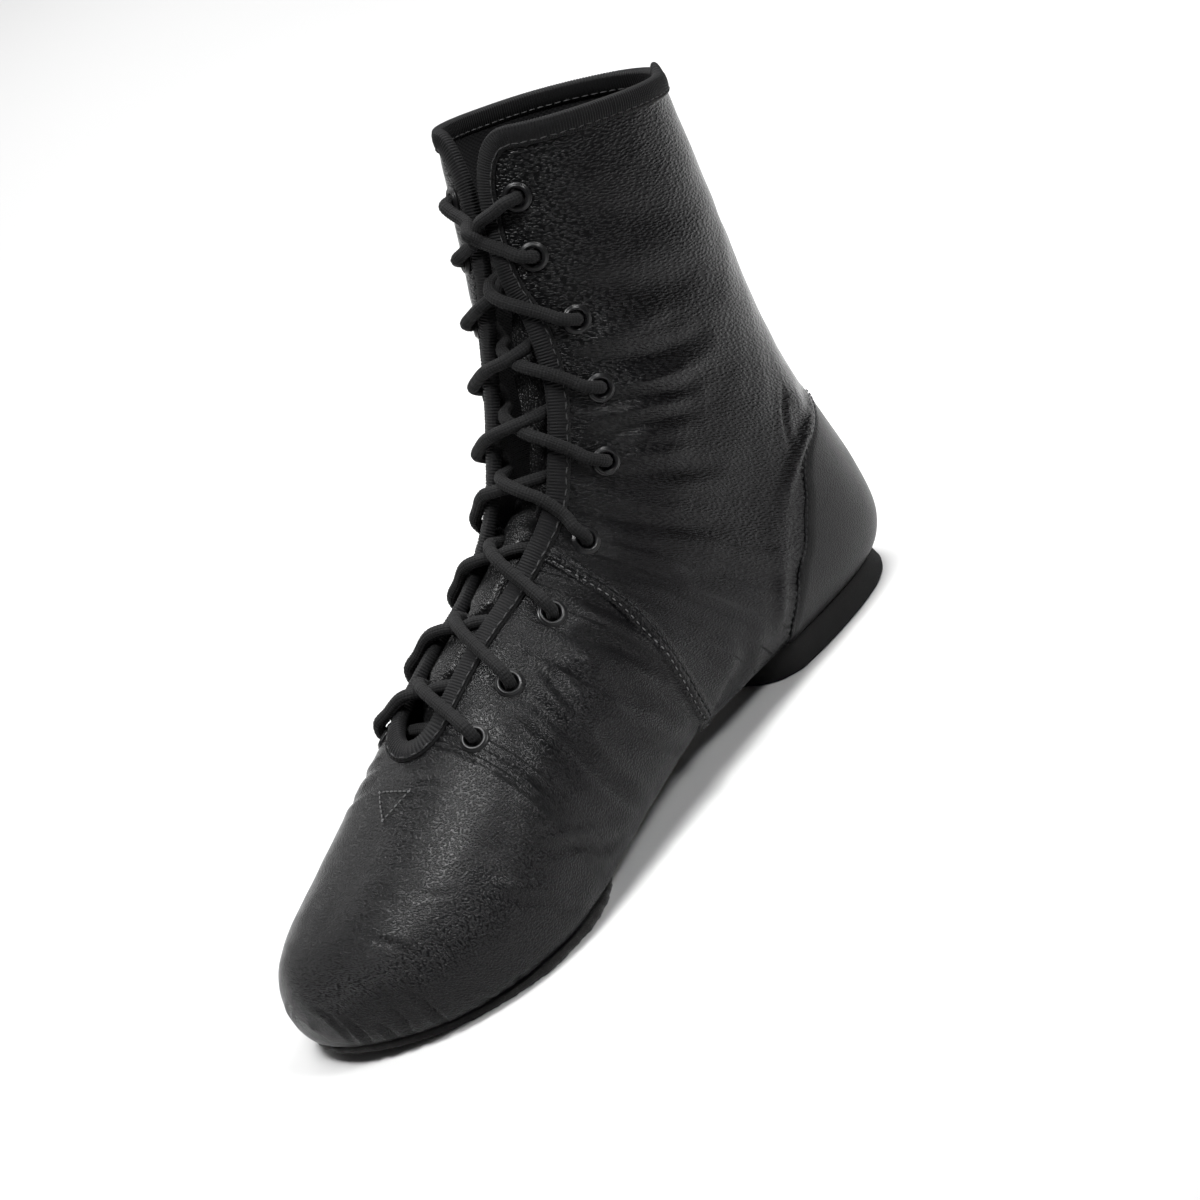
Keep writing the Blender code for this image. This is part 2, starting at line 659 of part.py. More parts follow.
def main():
    clear_scene()
    group = bpy.data.collections.new("dance_boot")
    cutters = bpy.data.collections.new("cutters")
    bpy.context.scene.collection.children.link(group)
    bpy.context.scene.collection.children.link(cutters)
    leather = material("boot_leather", (0.012, 0.012, 0.013), 0.42)
    tongue_leather = material("tongue_leather", (0.014, 0.014, 0.015), 0.46)
    counter_leather = material("counter_leather", (0.011, 0.011, 0.012), 0.42)
    suede = material("sole_suede", (0.030, 0.029, 0.028), 0.95)
    rubber = material("heel_rubber", (0.020, 0.020, 0.020), 0.72)
    lining = material("insole_fabric", (0.022, 0.022, 0.023), 0.9)
    tape = material("binding_tape", (0.016, 0.016, 0.017), 0.78)
    enamel = material("eyelet_enamel", (0.015, 0.015, 0.016), 0.3, 0.4)
    braid = material("lace_braid", (0.014, 0.014, 0.015), 0.82)
    build_upper(group, cutters, leather)
    plan_sheet("forefoot_sole", SOLE_OUTLINE, 18, 4, -GAP - SUEDE_THICK, SUEDE_THICK, group, suede)
    build_heel(group, rubber)
    plan_sheet("insole", INSOLE_OUTLINE, 20, 4, LEATHER_WALL + GAP + 0.1, INSOLE_THICK, group, lining)
    build_tongue(group, tongue_leather)
    build_binding(group, tape)
    build_counter(group, cutters, counter_leather)
    for k, row in enumerate(EYELETS):
        build_eyelet("eyelet_lateral_%d" % (k + 1), row[0], turn_at(row[0], row[1]), group, enamel)
        build_eyelet("eyelet_medial_%d" % (k + 1), row[0], turn_at(row[0], -row[2]), group, enamel)
    build_laces(group, cutters, braid)


main()
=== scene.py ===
import math
import bmesh
import bpy
import numpy as np
from mathutils import Matrix, Vector


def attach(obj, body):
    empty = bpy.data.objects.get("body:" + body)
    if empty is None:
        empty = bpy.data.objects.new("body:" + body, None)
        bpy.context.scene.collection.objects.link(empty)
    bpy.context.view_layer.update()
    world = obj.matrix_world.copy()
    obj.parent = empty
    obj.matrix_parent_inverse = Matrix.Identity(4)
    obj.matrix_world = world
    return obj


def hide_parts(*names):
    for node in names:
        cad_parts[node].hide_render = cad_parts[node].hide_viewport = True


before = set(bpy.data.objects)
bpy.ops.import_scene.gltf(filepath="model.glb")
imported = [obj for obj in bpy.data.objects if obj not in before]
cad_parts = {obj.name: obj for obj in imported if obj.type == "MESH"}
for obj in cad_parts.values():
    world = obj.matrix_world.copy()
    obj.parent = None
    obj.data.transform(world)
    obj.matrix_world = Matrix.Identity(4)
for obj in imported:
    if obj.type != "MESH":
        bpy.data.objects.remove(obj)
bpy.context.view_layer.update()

# Sizes of the boot, in millimetres
MM = 0.001
CENTRE_S = 117.0
CENTRE_X = 0.7
SEAT_SOFTNESS = 0.8
LEATHER_WALL = 1.6
TAPE_GAP = 0.25
TAPE_THICK = 0.7
TAPE_WIDTH = 6.1
TAPE_STITCH = 4.9
TAPE_RIB = 0.95
TAPE_INSIDE = 5.2
LACE_RADIUS = 1.92
COUNTER_THICK = 0.9
SUEDE_THICK = 2.4
GAP = 0.3

# Sections of the last from toe tip to collar: s runs forward from the heel end, z up from the floor
SECTION_COLUMNS = (
    "top_s", "top_z", "bottom_s", "bottom_z", "middle_x",
    "lateral", "medial", "belly", "top_round", "bottom_round")
SECTIONS = np.array((
    (251.0, 16.0, 251.0, 16.0, -10.0, 0.0, 0.0, 0.45, 2.0, 2.0),
    (248.5, 26.0, 248.5, 7.0, -10.0, 12.0, 12.0, 0.45, 2.0, 2.4),
    (241.0, 34.5, 241.0, 2.5, -9.0, 24.0, 23.0, 0.42, 2.1, 2.9),
    (228.0, 41.0, 228.0, 0.5, -7.0, 36.0, 32.5, 0.38, 2.1, 3.8),
    (208.0, 49.5, 208.0, 0.0, -5.0, 45.0, 37.0, 0.34, 2.1, 4.6),
    (187.0, 60.0, 184.0, 0.0, -3.0, 47.0, 39.0, 0.32, 2.1, 4.6),
    (167.0, 70.0, 158.0, 1.5, -2.0, 44.5, 37.0, 0.33, 2.1, 3.4),
    (148.0, 78.5, 128.0, 5.5, -1.0, 41.0, 34.0, 0.35, 2.1, 2.9),
    (130.0, 85.0, 96.0, 8.0, 0.0, 37.0, 32.0, 0.37, 2.1, 2.8),
    (115.9, 94.5, 56.0, 7.0, 0.0, 33.0, 31.0, 0.38, 2.1, 4.0),
    (107.4, 102.9, 16.0, 5.0, 0.0, 30.5, 30.0, 0.42, 2.1, 3.8),
    (102.9, 108.8, -4.5, 11.0, 0.0, 30.0, 30.0, 0.46, 2.1, 3.0),
    (97.9, 115.6, -10.5, 30.0, 0.0, 30.0, 30.0, 0.48, 2.1, 2.3),
    (89.3, 127.9, -8.0, 62.0, 0.0, 29.0, 29.0, 0.50, 2.1, 2.1),
    (79.6, 144.3, -7.4, 95.0, 0.0, 28.5, 28.5, 0.50, 2.2, 2.1),
    (67.5, 170.6, -12.2, 134.0, 0.0, 28.0, 27.5, 0.50, 2.5, 2.05),
    (54.8, 200.2, -16.2, 175.0, 0.0, 28.0, 26.0, 0.50, 2.8, 2.0)))
COLLAR = float(len(SECTIONS) - 1)
LAST_BOTTOM = (
    (-20.0, 8.2), (0.0, 8.3), (30.0, 9.2), (64.0, 10.3), (80.0, 10.7), (96.0, 10.3), (112.0, 9.1),
    (128.0, 7.4), (143.0, 5.4), (158.0, 3.7), (172.0, 2.85), (185.0, 2.7), (222.0, 2.7), (238.0, 4.0),
    (250.0, 7.0), (258.0, 10.0))

# Throat opening: distance of each facing edge from the top line, at stations up the boot
THROAT_FOOT = 5.5
THROAT_ROUND = 5.95
CORNER_START = 15.40
CORNER_LATERAL = 12.0
CORNER_MEDIAL = 8.0
FACING_LATERAL = (
    (5.4, 6.6), (6.0, 6.8), (6.5, 7.2), (7.0, 7.6), (7.6, 8.2), (8.15, 9.6), (8.7, 11.3), (9.5, 13.0),
    (10.2, 13.6), (11.4, 14.0), (12.3, 14.5), (13.05, 14.6), (13.4, 14.2), (13.8, 13.2), (14.15, 11.6),
    (14.5, 7.8), (14.85, 5.4), (15.3, 4.6), (16.0, 4.8))
FACING_MEDIAL = (
    (5.4, 8.0), (6.0, 10.2), (6.5, 11.4), (7.0, 10.8), (7.6, 9.4), (8.2, 8.0), (8.7, 6.2), (9.4, 4.4),
    (10.2, 3.4), (11.2, 2.8), (12.4, 2.8), (13.3, 3.0), (13.8, 2.4), (14.2, 1.0), (14.6, -0.4),
    (15.0, -0.8), (15.4, 0.2), (15.7, 2.0), (16.0, 4.0))

# Eyelets: station up the boot and distance from the top line on each side
EYELETS = (
    (15.37, 16.0, 11.4),
    (14.79, 16.8, 11.0),
    (14.11, 21.7, 12.8),
    (13.13, 22.9, 14.4),
    (11.75, 22.4, 14.4),
    (9.38, 21.6, 15.8),
    (8.00, 22.8, 20.0),
    (6.74, 23.8, 22.2),
    (5.82, 22.2, 21.2))

# Tongue: station, medial edge, lateral edge, depth at its sides and at its middle
TONGUE = (
    (4.95, -13.0, 12.0, 3.4, 3.4), (5.45, -17.5, 17.0, 6.8, 6.8), (5.85, -19.0, 18.5, 7.6, 7.0),
    (6.3, -19.5, 19.0, 6.6, 2.4), (6.7, -19.8, 19.5, 6.2, 0.6), (7.1, -20.0, 20.0, 6.0, 0.8),
    (7.5, -19.9, 20.2, 5.8, 0.6), (7.9, -19.6, 20.4, 5.6, 0.2), (8.4, -19.2, 20.6, 5.6, 0.6),
    (8.9, -18.4, 20.8, 6.0, 2.2), (9.4, -17.0, 21.1, 6.6, 4.0), (9.8, -13.0, 21.5, 8.0, 7.4),
    (10.3, -2.0, 21.5, 8.2, 8.8), (11.0, 8.0, 21.0, 6.6, 7.0), (12.0, 8.5, 21.0, 5.6, 5.0),
    (12.7, 6.0, 20.5, 5.4, 4.6), (13.3, 3.0, 20.0, 5.6, 4.6), (13.9, 1.5, 18.0, 6.4, 5.6),
    (14.3, 3.0, 14.0, 7.4, 7.0))

# Plan outlines: s, lateral and medial reach
SOLE_OUTLINE = (
    (147.0, 5.0, 5.0), (149.0, 14.0, 12.0), (153.0, 23.0, 20.0), (160.0, 31.0, 27.0), (170.0, 37.0, 32.5),
    (182.0, 40.0, 36.0), (195.0, 40.0, 38.0), (208.0, 36.0, 38.0), (220.0, 29.0, 36.5), (230.0, 20.5, 33.5),
    (238.0, 11.0, 29.5), (243.5, 2.0, 24.0), (246.5, -5.0, 17.0), (247.5, -9.0, 12.0))
HEEL_OUTLINE = (
    (-0.8, 4.0), (0.6, 9.5), (4.0, 15.0), (10.0, 20.0), (18.0, 23.2), (30.0, 25.0), (44.0, 25.6),
    (55.0, 25.0), (61.0, 21.5), (65.0, 14.0), (66.6, 5.0))

# Vamp and quarter seam: turn round the section and station of the quarter's edge
SEAM = (
    (0.0, 8.95), (27.6, 8.81), (42.7, 8.65), (56.2, 8.52), (71.3, 8.33), (85.7, 8.11), (97.6, 7.95),
    (115.0, 7.88), (150.0, 7.88), (180.0, 7.88))
SEAM_LINES = (0.4, 3.0)

# Heel counter: its stitched edge and the folded lip in front of it, as stations and turns
COUNTER_EDGE = (
    (8.98, 152.0), (9.10, 126.0), (9.22, 116.7), (9.57, 104.0), (9.98, 98.6), (10.52, 98.0), (11.44, 103.2),
    (12.08, 113.5), (12.71, 140.6), (12.90, 155.0), (13.0, 168.0), (13.03, 179.0))
COUNTER_LIP = (
    (12.96, 158.0), (12.55, 130.2), (12.14, 112.5), (11.67, 101.4), (11.06, 94.4), (10.30, 92.2), (9.83, 94.4),
    (9.41, 100.0), (9.13, 109.5))
LEAF_LINE = ((12.98, 126.0), (12.65, 116.7), (12.36, 111.1), (12.05, 107.0))
LEAF_PUFF = (12.81, 131.0)

# Folds of the leather: depth, half width and a line of stations and turns; a negative depth is a ridge
CREASES = (
    (0.45, 6.0, ((15.3, 46), (15.0, 88), (14.9, 126))),
    (0.60, 5.0, ((14.5, 48), (14.35, 78), (14.35, 113))),
    (-1.00, 3.6, ((13.85, 42), (13.95, 65), (14.11, 90))),
    (1.20, 3.0, ((13.62, 46), (13.57, 61), (13.6, 78), (13.73, 95))),
    (-1.00, 2.6, ((13.12, 56), (13.18, 68), (13.25, 78), (13.46, 95))),
    (0.35, 0.9, ((13.2, 60), (13.28, 70), (13.42, 82))),
    (0.35, 0.9, ((13.08, 62), (13.18, 74), (13.32, 88))),
    (1.20, 2.6, ((12.98, 46), (12.93, 57), (12.97, 68), (13.06, 84))),
    (-0.90, 3.0, ((12.5, 38), (12.74, 55), (12.84, 68), (12.9, 80))),
    (1.10, 2.8, ((12.2, 44), (12.35, 52), (12.59, 65), (12.71, 82))),
    (0.35, 0.9, ((12.16, 41), (12.32, 49), (12.5, 60))),
    (-0.70, 2.8, ((11.9, 44), (11.92, 54), (12.0, 64), (12.15, 76))),
    (1.00, 2.8, ((11.3, 44), (11.4, 54), (11.55, 64), (11.7, 80))),
    (-0.80, 3.0, ((10.75, 32), (10.8, 44), (10.6, 56), (10.5, 68))),
    (0.30, 0.9, ((10.9, 36), (10.98, 46), (10.85, 56))),
    (1.00, 2.6, ((10.05, 34), (9.95, 48), (10.0, 62), (10.2, 80))),
    (-0.90, 2.6, ((9.45, 44), (9.34, 52), (9.37, 62), (9.3, 75))),
    (0.30, 0.9, ((9.55, 44), (9.5, 54), (9.5, 64))),
    (0.90, 2.2, ((9.0, 46), (9.05, 60), (9.1, 74))),
    (0.70, 4.0, ((9.39, 70), (9.5, 88), (9.87, 106))),
    (-0.60, 2.2, ((8.62, 28), (8.56, 40), (8.46, 56))),
    (1.00, 2.2, ((8.4, 42), (8.37, 60), (8.28, 80))),
    (-0.90, 2.6, ((8.24, 40), (8.18, 58), (8.2, 74), (8.08, 90))),
    (1.20, 2.6, ((7.8, 46), (7.9, 56), (7.99, 66), (7.98, 84))),
    (-0.90, 2.8, ((7.45, 48), (7.6, 58), (7.73, 68), (7.8, 84))),
    (1.20, 2.8, ((7.2, 50), (7.35, 64), (7.5, 80), (7.65, 100))),
    (1.00, 2.5, ((7.26, 40), (7.02, 51), (6.78, 66))),
    (1.20, 2.9, ((6.74, 43), (6.61, 56), (6.48, 78), (6.58, 104))),
    (-0.80, 2.6, ((6.9, 45), (6.76, 58), (6.69, 77))),
    (-0.80, 3.4, ((7.7, 48), (7.45, 61), (7.31, 79))),
    (0.80, 2.4, ((6.33, 37), (6.23, 52), (6.12, 73))),
    (0.35, 2.4, ((5.75, 40), (5.66, 52), (5.66, 74))),
    (-0.40, 1.0, ((5.02, 8), (5.1, 16), (5.16, 25))),
    (0.40, 0.8, ((4.95, 9), (5.02, 17), (5.07, 25))),
    (-0.40, 1.0, ((4.88, 12), (4.93, 19), (4.97, 27))),
    (-0.80, 2.2, ((7.1, 74), (7.25, 86), (7.45, 100), (7.6, 116))),
    (0.90, 2.2, ((6.88, 74), (7.1, 90), (7.3, 106), (7.4, 120))),
    (-0.60, 1.8, ((5.2, 68), (5.5, 77), (5.8, 86), (6.15, 95))),
    (0.70, 1.8, ((5.05, 70), (5.4, 81), (5.75, 91), (6.1, 103))),
    (-0.50, 1.8, ((4.35, 64), (4.55, 75), (4.8, 85), (5.1, 95))),
    (0.60, 1.8, ((4.3, 70), (4.55, 80), (4.75, 88), (5.0, 98))),
    (0.35, 1.0, ((3.38, 16), (3.5, 28), (3.6, 36), (3.98, 54))),
    (0.30, 1.0, ((3.55, 18), (3.66, 30), (3.8, 42))),
    (0.25, 0.9, ((2.78, 30), (2.9, 42), (2.98, 52), (3.03, 68))),
    (-0.22, 1.4, ((2.95, 32), (3.05, 44), (3.14, 58))),
    (-0.40, 1.2, ((1.9, 54), (2.0, 70), (2.1, 88))),
    (1.30, 1.2, ((2.55, 80), (2.65, 92), (2.75, 106), (2.9, 132))),
    (1.20, 1.2, ((2.12, 84), (2.2, 98), (2.25, 112), (2.35, 134))),
    (1.00, 4.0, ((8.75, 102), (8.35, 122), (7.75, 137))),
    (0.80, 1.4, ((3.9, 108), (3.98, 124), (4.0, 140))),
    (0.80, 1.3, ((3.35, 104), (3.5, 122), (3.55, 140))),
    (1.00, 1.2, ((1.75, 92), (1.95, 116), (2.15, 142))),
    (1.00, 1.2, ((1.2, 78), (1.4, 110), (1.6, 142))),
    (0.50, 1.2, ((0.85, 30), (0.95, 80), (1.15, 130))),
    (0.45, 1.2, ((0.9, -46), (1.0, -80), (1.1, -115))),
    (0.45, 1.2, ((1.6, -84), (1.8, -112), (2.1, -140))),
    (0.45, 1.2, ((2.4, -90), (2.6, -116), (2.8, -140))),
    (1.20, 3.0, ((13.8, -34), (13.62, -59), (13.42, -86), (13.34, -116))),
    (1.30, 3.0, ((12.7, -42), (12.53, -64), (12.43, -90))),
    (1.10, 2.8, ((12.02, -40), (11.87, -61), (11.88, -89))),
    (1.30, 3.0, ((11.2, -42), (11.0, -65), (11.03, -92))),
    (0.90, 2.6, ((10.13, -43), (10.12, -65), (10.33, -94))),
    (1.20, 3.2, ((8.0, -40), (7.72, -65), (7.64, -94))),
    (1.10, 3.0, ((7.26, -40), (6.98, -62), (6.92, -92))),
    (1.00, 2.8, ((6.42, -41), (6.36, -64), (6.41, -97))),
    (0.60, 1.7, ((5.27, -10), (5.2, -30), (5.36, -55))),
    (0.50, 1.6, ((4.91, -10), (4.84, -32), (4.99, -53))))

# Share of the written depth and width that every fold takes
CREASE_DEPTH = 1.15
CREASE_WIDTH = 0.95

# Puffs of slack leather: station, turn, height and spread
PUFFS = (
    (13.62, 61.0, 0.9, 11.0), (12.35, 66.0, 1.0, 12.0), (10.8, 66.0, 0.8, 11.0), (7.4, 66.0, 0.9, 10.0),
    (6.5, 60.0, 0.8, 10.0), (5.5, 58.0, 0.6, 12.0), (13.6, -61.0, 0.9, 11.0), (12.35, -66.0, 0.9, 12.0),
    (7.4, -66.0, 0.9, 10.0), (6.45, -60.0, 0.7, 10.0), (11.44, 90.0, -1.0, 16.0), (11.44, -90.0, -1.0, 16.0))


# Cubic blend between two values with given slopes
def hermite(part, start, end, slope_start, slope_end, step=1.0):
    rest = 1.0 - part
    return ((1.0 + 2.0 * part) * rest * rest * start + part * rest * rest * step * slope_start
            + part * part * (3.0 - 2.0 * part) * end - part * part * rest * step * slope_end)


# Smooth value of a table column at keys
def along(table, at, column=1):
    rows = np.asarray(table, float)
    keys = rows[:, 0]
    values = rows[:, column]
    at = np.clip(np.asarray(at, float), keys[0], keys[-1])
    k = np.clip(np.searchsorted(keys, at, side="right") - 1, 0, len(keys) - 2)
    pitch = np.diff(values) / np.diff(keys)
    slope = np.concatenate((pitch[:1], np.zeros(len(keys) - 2), pitch[-1:]))
    before = pitch[:-1]
    after = pitch[1:]
    same = before * after > 0.0
    slope[1:-1] = np.where(same, 2.0 * before * after / np.where(same, before + after, 1.0), 0.0)
    step = keys[k + 1] - keys[k]
    return hermite((at - keys[k]) / step, values[k], values[k + 1], slope[k], slope[k + 1], step)


def section_at(station):
    last = len(SECTIONS) - 1
    k = np.clip(np.floor(station).astype(int), 0, last - 1)
    start = SECTIONS[k]
    end = SECTIONS[k + 1]
    before = SECTIONS[np.maximum(k - 1, 0)]
    after = SECTIONS[np.minimum(k + 2, last)]
    slope_start = np.where((k > 0)[..., None], (end - before) / 2.0, end - start)
    slope_end = np.where((k + 2 <= last)[..., None], (after - start) / 2.0, end - start)
    rows = hermite((station - k)[..., None], start, end, slope_start, slope_end)
    return dict(zip(SECTION_COLUMNS, np.moveaxis(rows, -1, 0)))


# Points of the last's outside, in millimetres: turn is 0 on the top line and positive lateral
def bare_skin(station, turn):
    station, turn = np.broadcast_arrays(np.asarray(station, float), np.asarray(turn, float))
    row = section_at(station)
    angle = (turn + 180.0) % 360.0 - 180.0
    up = np.cos(np.radians(angle))
    out = np.abs(np.sin(np.radians(angle)))
    power = np.where(up >= 0.0, 2.0 / row["top_round"], 2.0 / row["bottom_round"])
    rise = np.abs(up) ** power
    belly = row["belly"]
    height = np.where(up >= 0.0, belly + (1.0 - belly) * rise, belly - belly * rise)
    reach = np.where(angle >= 0.0, row["lateral"], -row["medial"])
    x = row["middle_x"] + reach * out ** power
    s = row["bottom_s"] + (row["top_s"] - row["bottom_s"]) * height
    z = row["bottom_z"] + (row["top_z"] - row["bottom_z"]) * height
    seat = along(LAST_BOTTOM, s)
    z = seat + SEAT_SOFTNESS * np.logaddexp(0.0, (z - seat) / SEAT_SOFTNESS)
    return np.stack((x - CENTRE_X, CENTRE_S - s, z), -1)


def unit(v):
    return v / np.maximum(np.linalg.norm(v, axis=-1, keepdims=True), 1e-9)


# Directions up the boot and round the section, and the outward normal
def skin_axes(station, turn):
    station, turn = np.broadcast_arrays(np.asarray(station, float), np.asarray(turn, float))
    low = np.maximum(station - 0.03, 0.02)
    high = np.maximum(station, 0.02) + 0.03
    up = (bare_skin(high, turn) - bare_skin(low, turn)) / (high - low)[..., None]
    round_to = np.maximum(station, 0.05)
    around = (bare_skin(round_to, turn + 0.8) - bare_skin(round_to, turn - 0.8)) / 1.6
    return up, around, unit(np.cross(around, up))


def turn_at(station, side_x):
    station, side_x = np.broadcast_arrays(np.asarray(station, float), np.asarray(side_x, float))
    row = section_at(station)
    reach = np.where(side_x >= 0.0, row["lateral"], row["medial"])
    ratio = np.minimum(np.abs(side_x) / np.maximum(reach, 0.01), 1.0)
    return np.copysign(np.degrees(np.arcsin(ratio ** (row["top_round"] / 2.0))), side_x)


def facing(station, table):
    station = np.asarray(station, float)
    edge = along(table, station)
    foot = np.clip((THROAT_ROUND - station) / (THROAT_ROUND - THROAT_FOOT), 0.0, 1.0)
    corner = np.clip((station - CORNER_START) / (COLLAR - CORNER_START), 0.0, 1.0)
    radius = CORNER_LATERAL if table is FACING_LATERAL else CORNER_MEDIAL
    edge = edge * np.sqrt(1.0 - foot * foot) + radius * (1.0 - np.sqrt(1.0 - corner * corner))
    return np.where(station <= THROAT_FOOT, 0.0, edge)


def throat_turns(station):
    lateral = turn_at(station, facing(station, FACING_LATERAL))
    medial = -turn_at(station, -facing(station, FACING_MEDIAL))
    return lateral, medial


def soft_step(value):
    value = np.clip(value, 0.0, 1.0)
    return value * value * (3.0 - 2.0 * value)


# Smooth line through rows of values
def smooth_line(rows, count):
    rows = np.asarray(rows, float)
    gaps = np.maximum(np.linalg.norm(np.diff(rows, axis=0), axis=1), 1e-6)
    keys = np.concatenate(((0.0,), np.cumsum(gaps)))
    at = np.linspace(0.0, keys[-1], count)
    k = np.clip(np.searchsorted(keys, at, side="right") - 1, 0, len(rows) - 2)
    slopes = np.empty_like(rows)
    slopes[0] = (rows[1] - rows[0]) / gaps[0]
    slopes[-1] = (rows[-1] - rows[-2]) / gaps[-1]
    for i in range(1, len(rows) - 1):
        slopes[i] = (rows[i + 1] - rows[i - 1]) / (gaps[i - 1] + gaps[i])
    step = (keys[k + 1] - keys[k])[:, None]
    return hermite((at - keys[k])[:, None] / step, rows[k], rows[k + 1], slopes[k], slopes[k + 1], step)


# Distance run along a line of points
def run_length(points):
    return np.concatenate(((0.0,), np.cumsum(np.linalg.norm(np.diff(points, axis=0), axis=1))))


def even_line(points, spacing):
    length = run_length(points)
    count = max(int(length[-1] / spacing), 2)
    at = np.linspace(0.0, length[-1], count + 1)
    return np.stack([np.interp(at, length, points[:, c]) for c in range(points.shape[1])], -1)


# Nearest distance from points to a line, and how far along the line it is
def line_distance(points, line):
    best = np.full(len(points), 1e9)
    place = np.zeros(len(points))
    start = line[:-1]
    run = line[1:] - start
    size = np.maximum((run * run).sum(1), 1e-9)
    for k in range(len(start)):
        t = np.clip(((points - start[k]) @ run[k]) / size[k], 0.0, 1.0)
        gap = np.linalg.norm(points - start[k] - t[:, None] * run[k], axis=1)
        nearer = gap < best
        best[nearer] = gap[nearer]
        place[nearer] = (k + t[nearer]) / len(start)
    return best, place


def crease_relief(points, depth, width, route):
    line = bare_skin(*smooth_line(route, 26).T)
    relief = np.zeros(len(points))
    margin = width * 3.6
    inside = np.all((points > line.min(0) - margin) & (points < line.max(0) + margin), axis=1)
    near = np.nonzero(inside)[0]
    if len(near) == 0:
        return relief
    gap, place = line_distance(points[near], line)
    fade = np.sin(np.pi * np.clip(place * 0.92 + 0.04, 0.0, 1.0)) ** 0.7
    trough = -np.exp(-(gap / width) ** 2)
    shoulder = 0.42 * np.exp(-((gap - 1.75 * width) / width) ** 2)
    relief[near] = depth * fade * (trough + shoulder if depth > 0.0 else trough)
    return relief


# Slow waves of slack leather: a direction, a pace and a phase each
WAVES = tuple((
    math.sin(2.4 * k + 0.3), math.sin(1.7 * k + 1.1), math.sin(3.1 * k + 2.0), 0.16 + 0.045 * k, 0.9 * k)
    for k in range(14))


def slack(points):
    total = np.zeros(len(points))
    for a, b, c, pace, phase in WAVES:
        way = np.array((a, b, c)) / max(math.sqrt(a * a + b * b + c * c), 0.1)
        bend = 1.3 * np.sin(points @ way[::-1] * pace * 0.41)
        total += np.sin(points @ way * pace + phase + bend) / (1.0 + pace * 6.0)
    return total * 0.10


def edge_route():
    run = np.linspace(THROAT_FOOT + 0.004, COLLAR, 160)
    lateral, medial = throat_turns(run)
    across = np.linspace(lateral[-1], 360.0 - medial[-1], 90)[1:-1]
    stations = np.concatenate((run, np.full(len(across), COLLAR), run[::-1]))
    turns = np.concatenate((lateral, across, 360.0 - medial[::-1]))
    return stations, turns


EDGE_LINE = bare_skin(*edge_route())


def edge_distance(points):
    best = np.full(len(points), 1e9)
    for spot in EDGE_LINE[::2]:
        best = np.minimum(best, ((points - spot) ** 2).sum(1))
    return np.sqrt(best)


# Distance behind the quarter's edge, in millimetres
def seam_side(station, turn, up):
    angle = np.abs((turn + 180.0) % 360.0 - 180.0)
    return (station - along(SEAM, angle)) * np.linalg.norm(up, axis=-1)


def seam_relief(side):
    lap = 0.35 * soft_step((side + 0.5) / 2.0) * (1.0 - soft_step((side - 5.0) / 10.0))
    return lap - 0.45 * np.exp(-((side + 1.6) / 1.4) ** 2)


# Height of the leather over the last, in millimetres
def leather_relief(station, turn):
    shape = np.shape(station)
    station = np.ravel(station)
    turn = np.ravel(turn)
    points = bare_skin(station, turn)
    up = skin_axes(station, turn)[0]
    relief = slack(points)
    for depth, width, route in CREASES:
        relief += crease_relief(points, depth * CREASE_DEPTH, width * CREASE_WIDTH, route)
    for at, round_at, height, spread in PUFFS:
        middle = bare_skin(at, round_at)
        relief += height * np.exp(-((points - middle) ** 2).sum(1) / (spread * spread))
    for sign in (1.0, -1.0):
        lip = [(u, sign * t) for u, t in COUNTER_LIP]
        leaf = [(u, sign * t) for u, t in LEAF_LINE]
        relief += crease_relief(points, -1.5, 2.0, lip)
        relief += crease_relief(points, 0.9, 1.1, leaf)
        puff = bare_skin(LEAF_PUFF[0], sign * LEAF_PUFF[1])
        relief += 1.1 * np.exp(-((points - puff) ** 2).sum(1) / 40.0)
    edge = edge_distance(points)
    calm = soft_step((edge - 5.5) / 7.0)
    toe_calm = soft_step(station / 0.8)
    floor_calm = soft_step((points[:, 2] - along(LAST_BOTTOM, CENTRE_S - points[:, 1]) - 0.4) / 2.5)
    relief = relief * calm * toe_calm * floor_calm
    relief += seam_relief(seam_side(station, turn, up)) * soft_step((edge - 6.0) / 2.0) * floor_calm
    for row in EYELETS:
        for side in (row[1], -row[2]):
            middle = bare_skin(row[0], turn_at(row[0], side))
            near = np.exp(-((points - middle) ** 2).sum(1) / 42.0)
            relief = relief * (1.0 - 0.8 * near) - 0.45 * near
    return relief.reshape(shape)


def leather(station, turn, lift=0.0):
    station, turn = np.broadcast_arrays(np.asarray(station, float), np.asarray(turn, float))
    height = leather_relief(station, turn) + lift
    return bare_skin(station, turn) + skin_axes(station, turn)[2] * height[..., None]


def skin(station, turn, lift=0.0):
    lift = np.asarray(lift, float)
    return bare_skin(station, turn) + skin_axes(station, turn)[2] * lift[..., None]


# Mesh of a grid of places in millimetres, with flat marks for its patterns
def mapped_sheet(name, places, marks):
    rows, columns = places.shape[:2]
    bm = bmesh.new()
    bmesh.ops.create_grid(bm, x_segments=rows - 1, y_segments=columns - 1, size=0.5)
    mesh = bpy.data.meshes.new(name)
    bm.to_mesh(mesh)
    bm.free()
    flat = np.empty(len(mesh.vertices) * 3)
    mesh.vertices.foreach_get("co", flat)
    flat = flat.reshape(-1, 3)
    a = np.rint((flat[:, 0] + 0.5) * (rows - 1)).astype(int)
    b = np.rint((flat[:, 1] + 0.5) * (columns - 1)).astype(int)
    mesh.vertices.foreach_set("co", (places[a, b] * MM).ravel())
    corner = np.empty(len(mesh.loops), int)
    mesh.loops.foreach_get("vertex_index", corner)
    layer = mesh.uv_layers.new(name="lay")
    layer.data.foreach_set("uv", marks[a[corner], b[corner]].ravel())
    return mesh, a, b


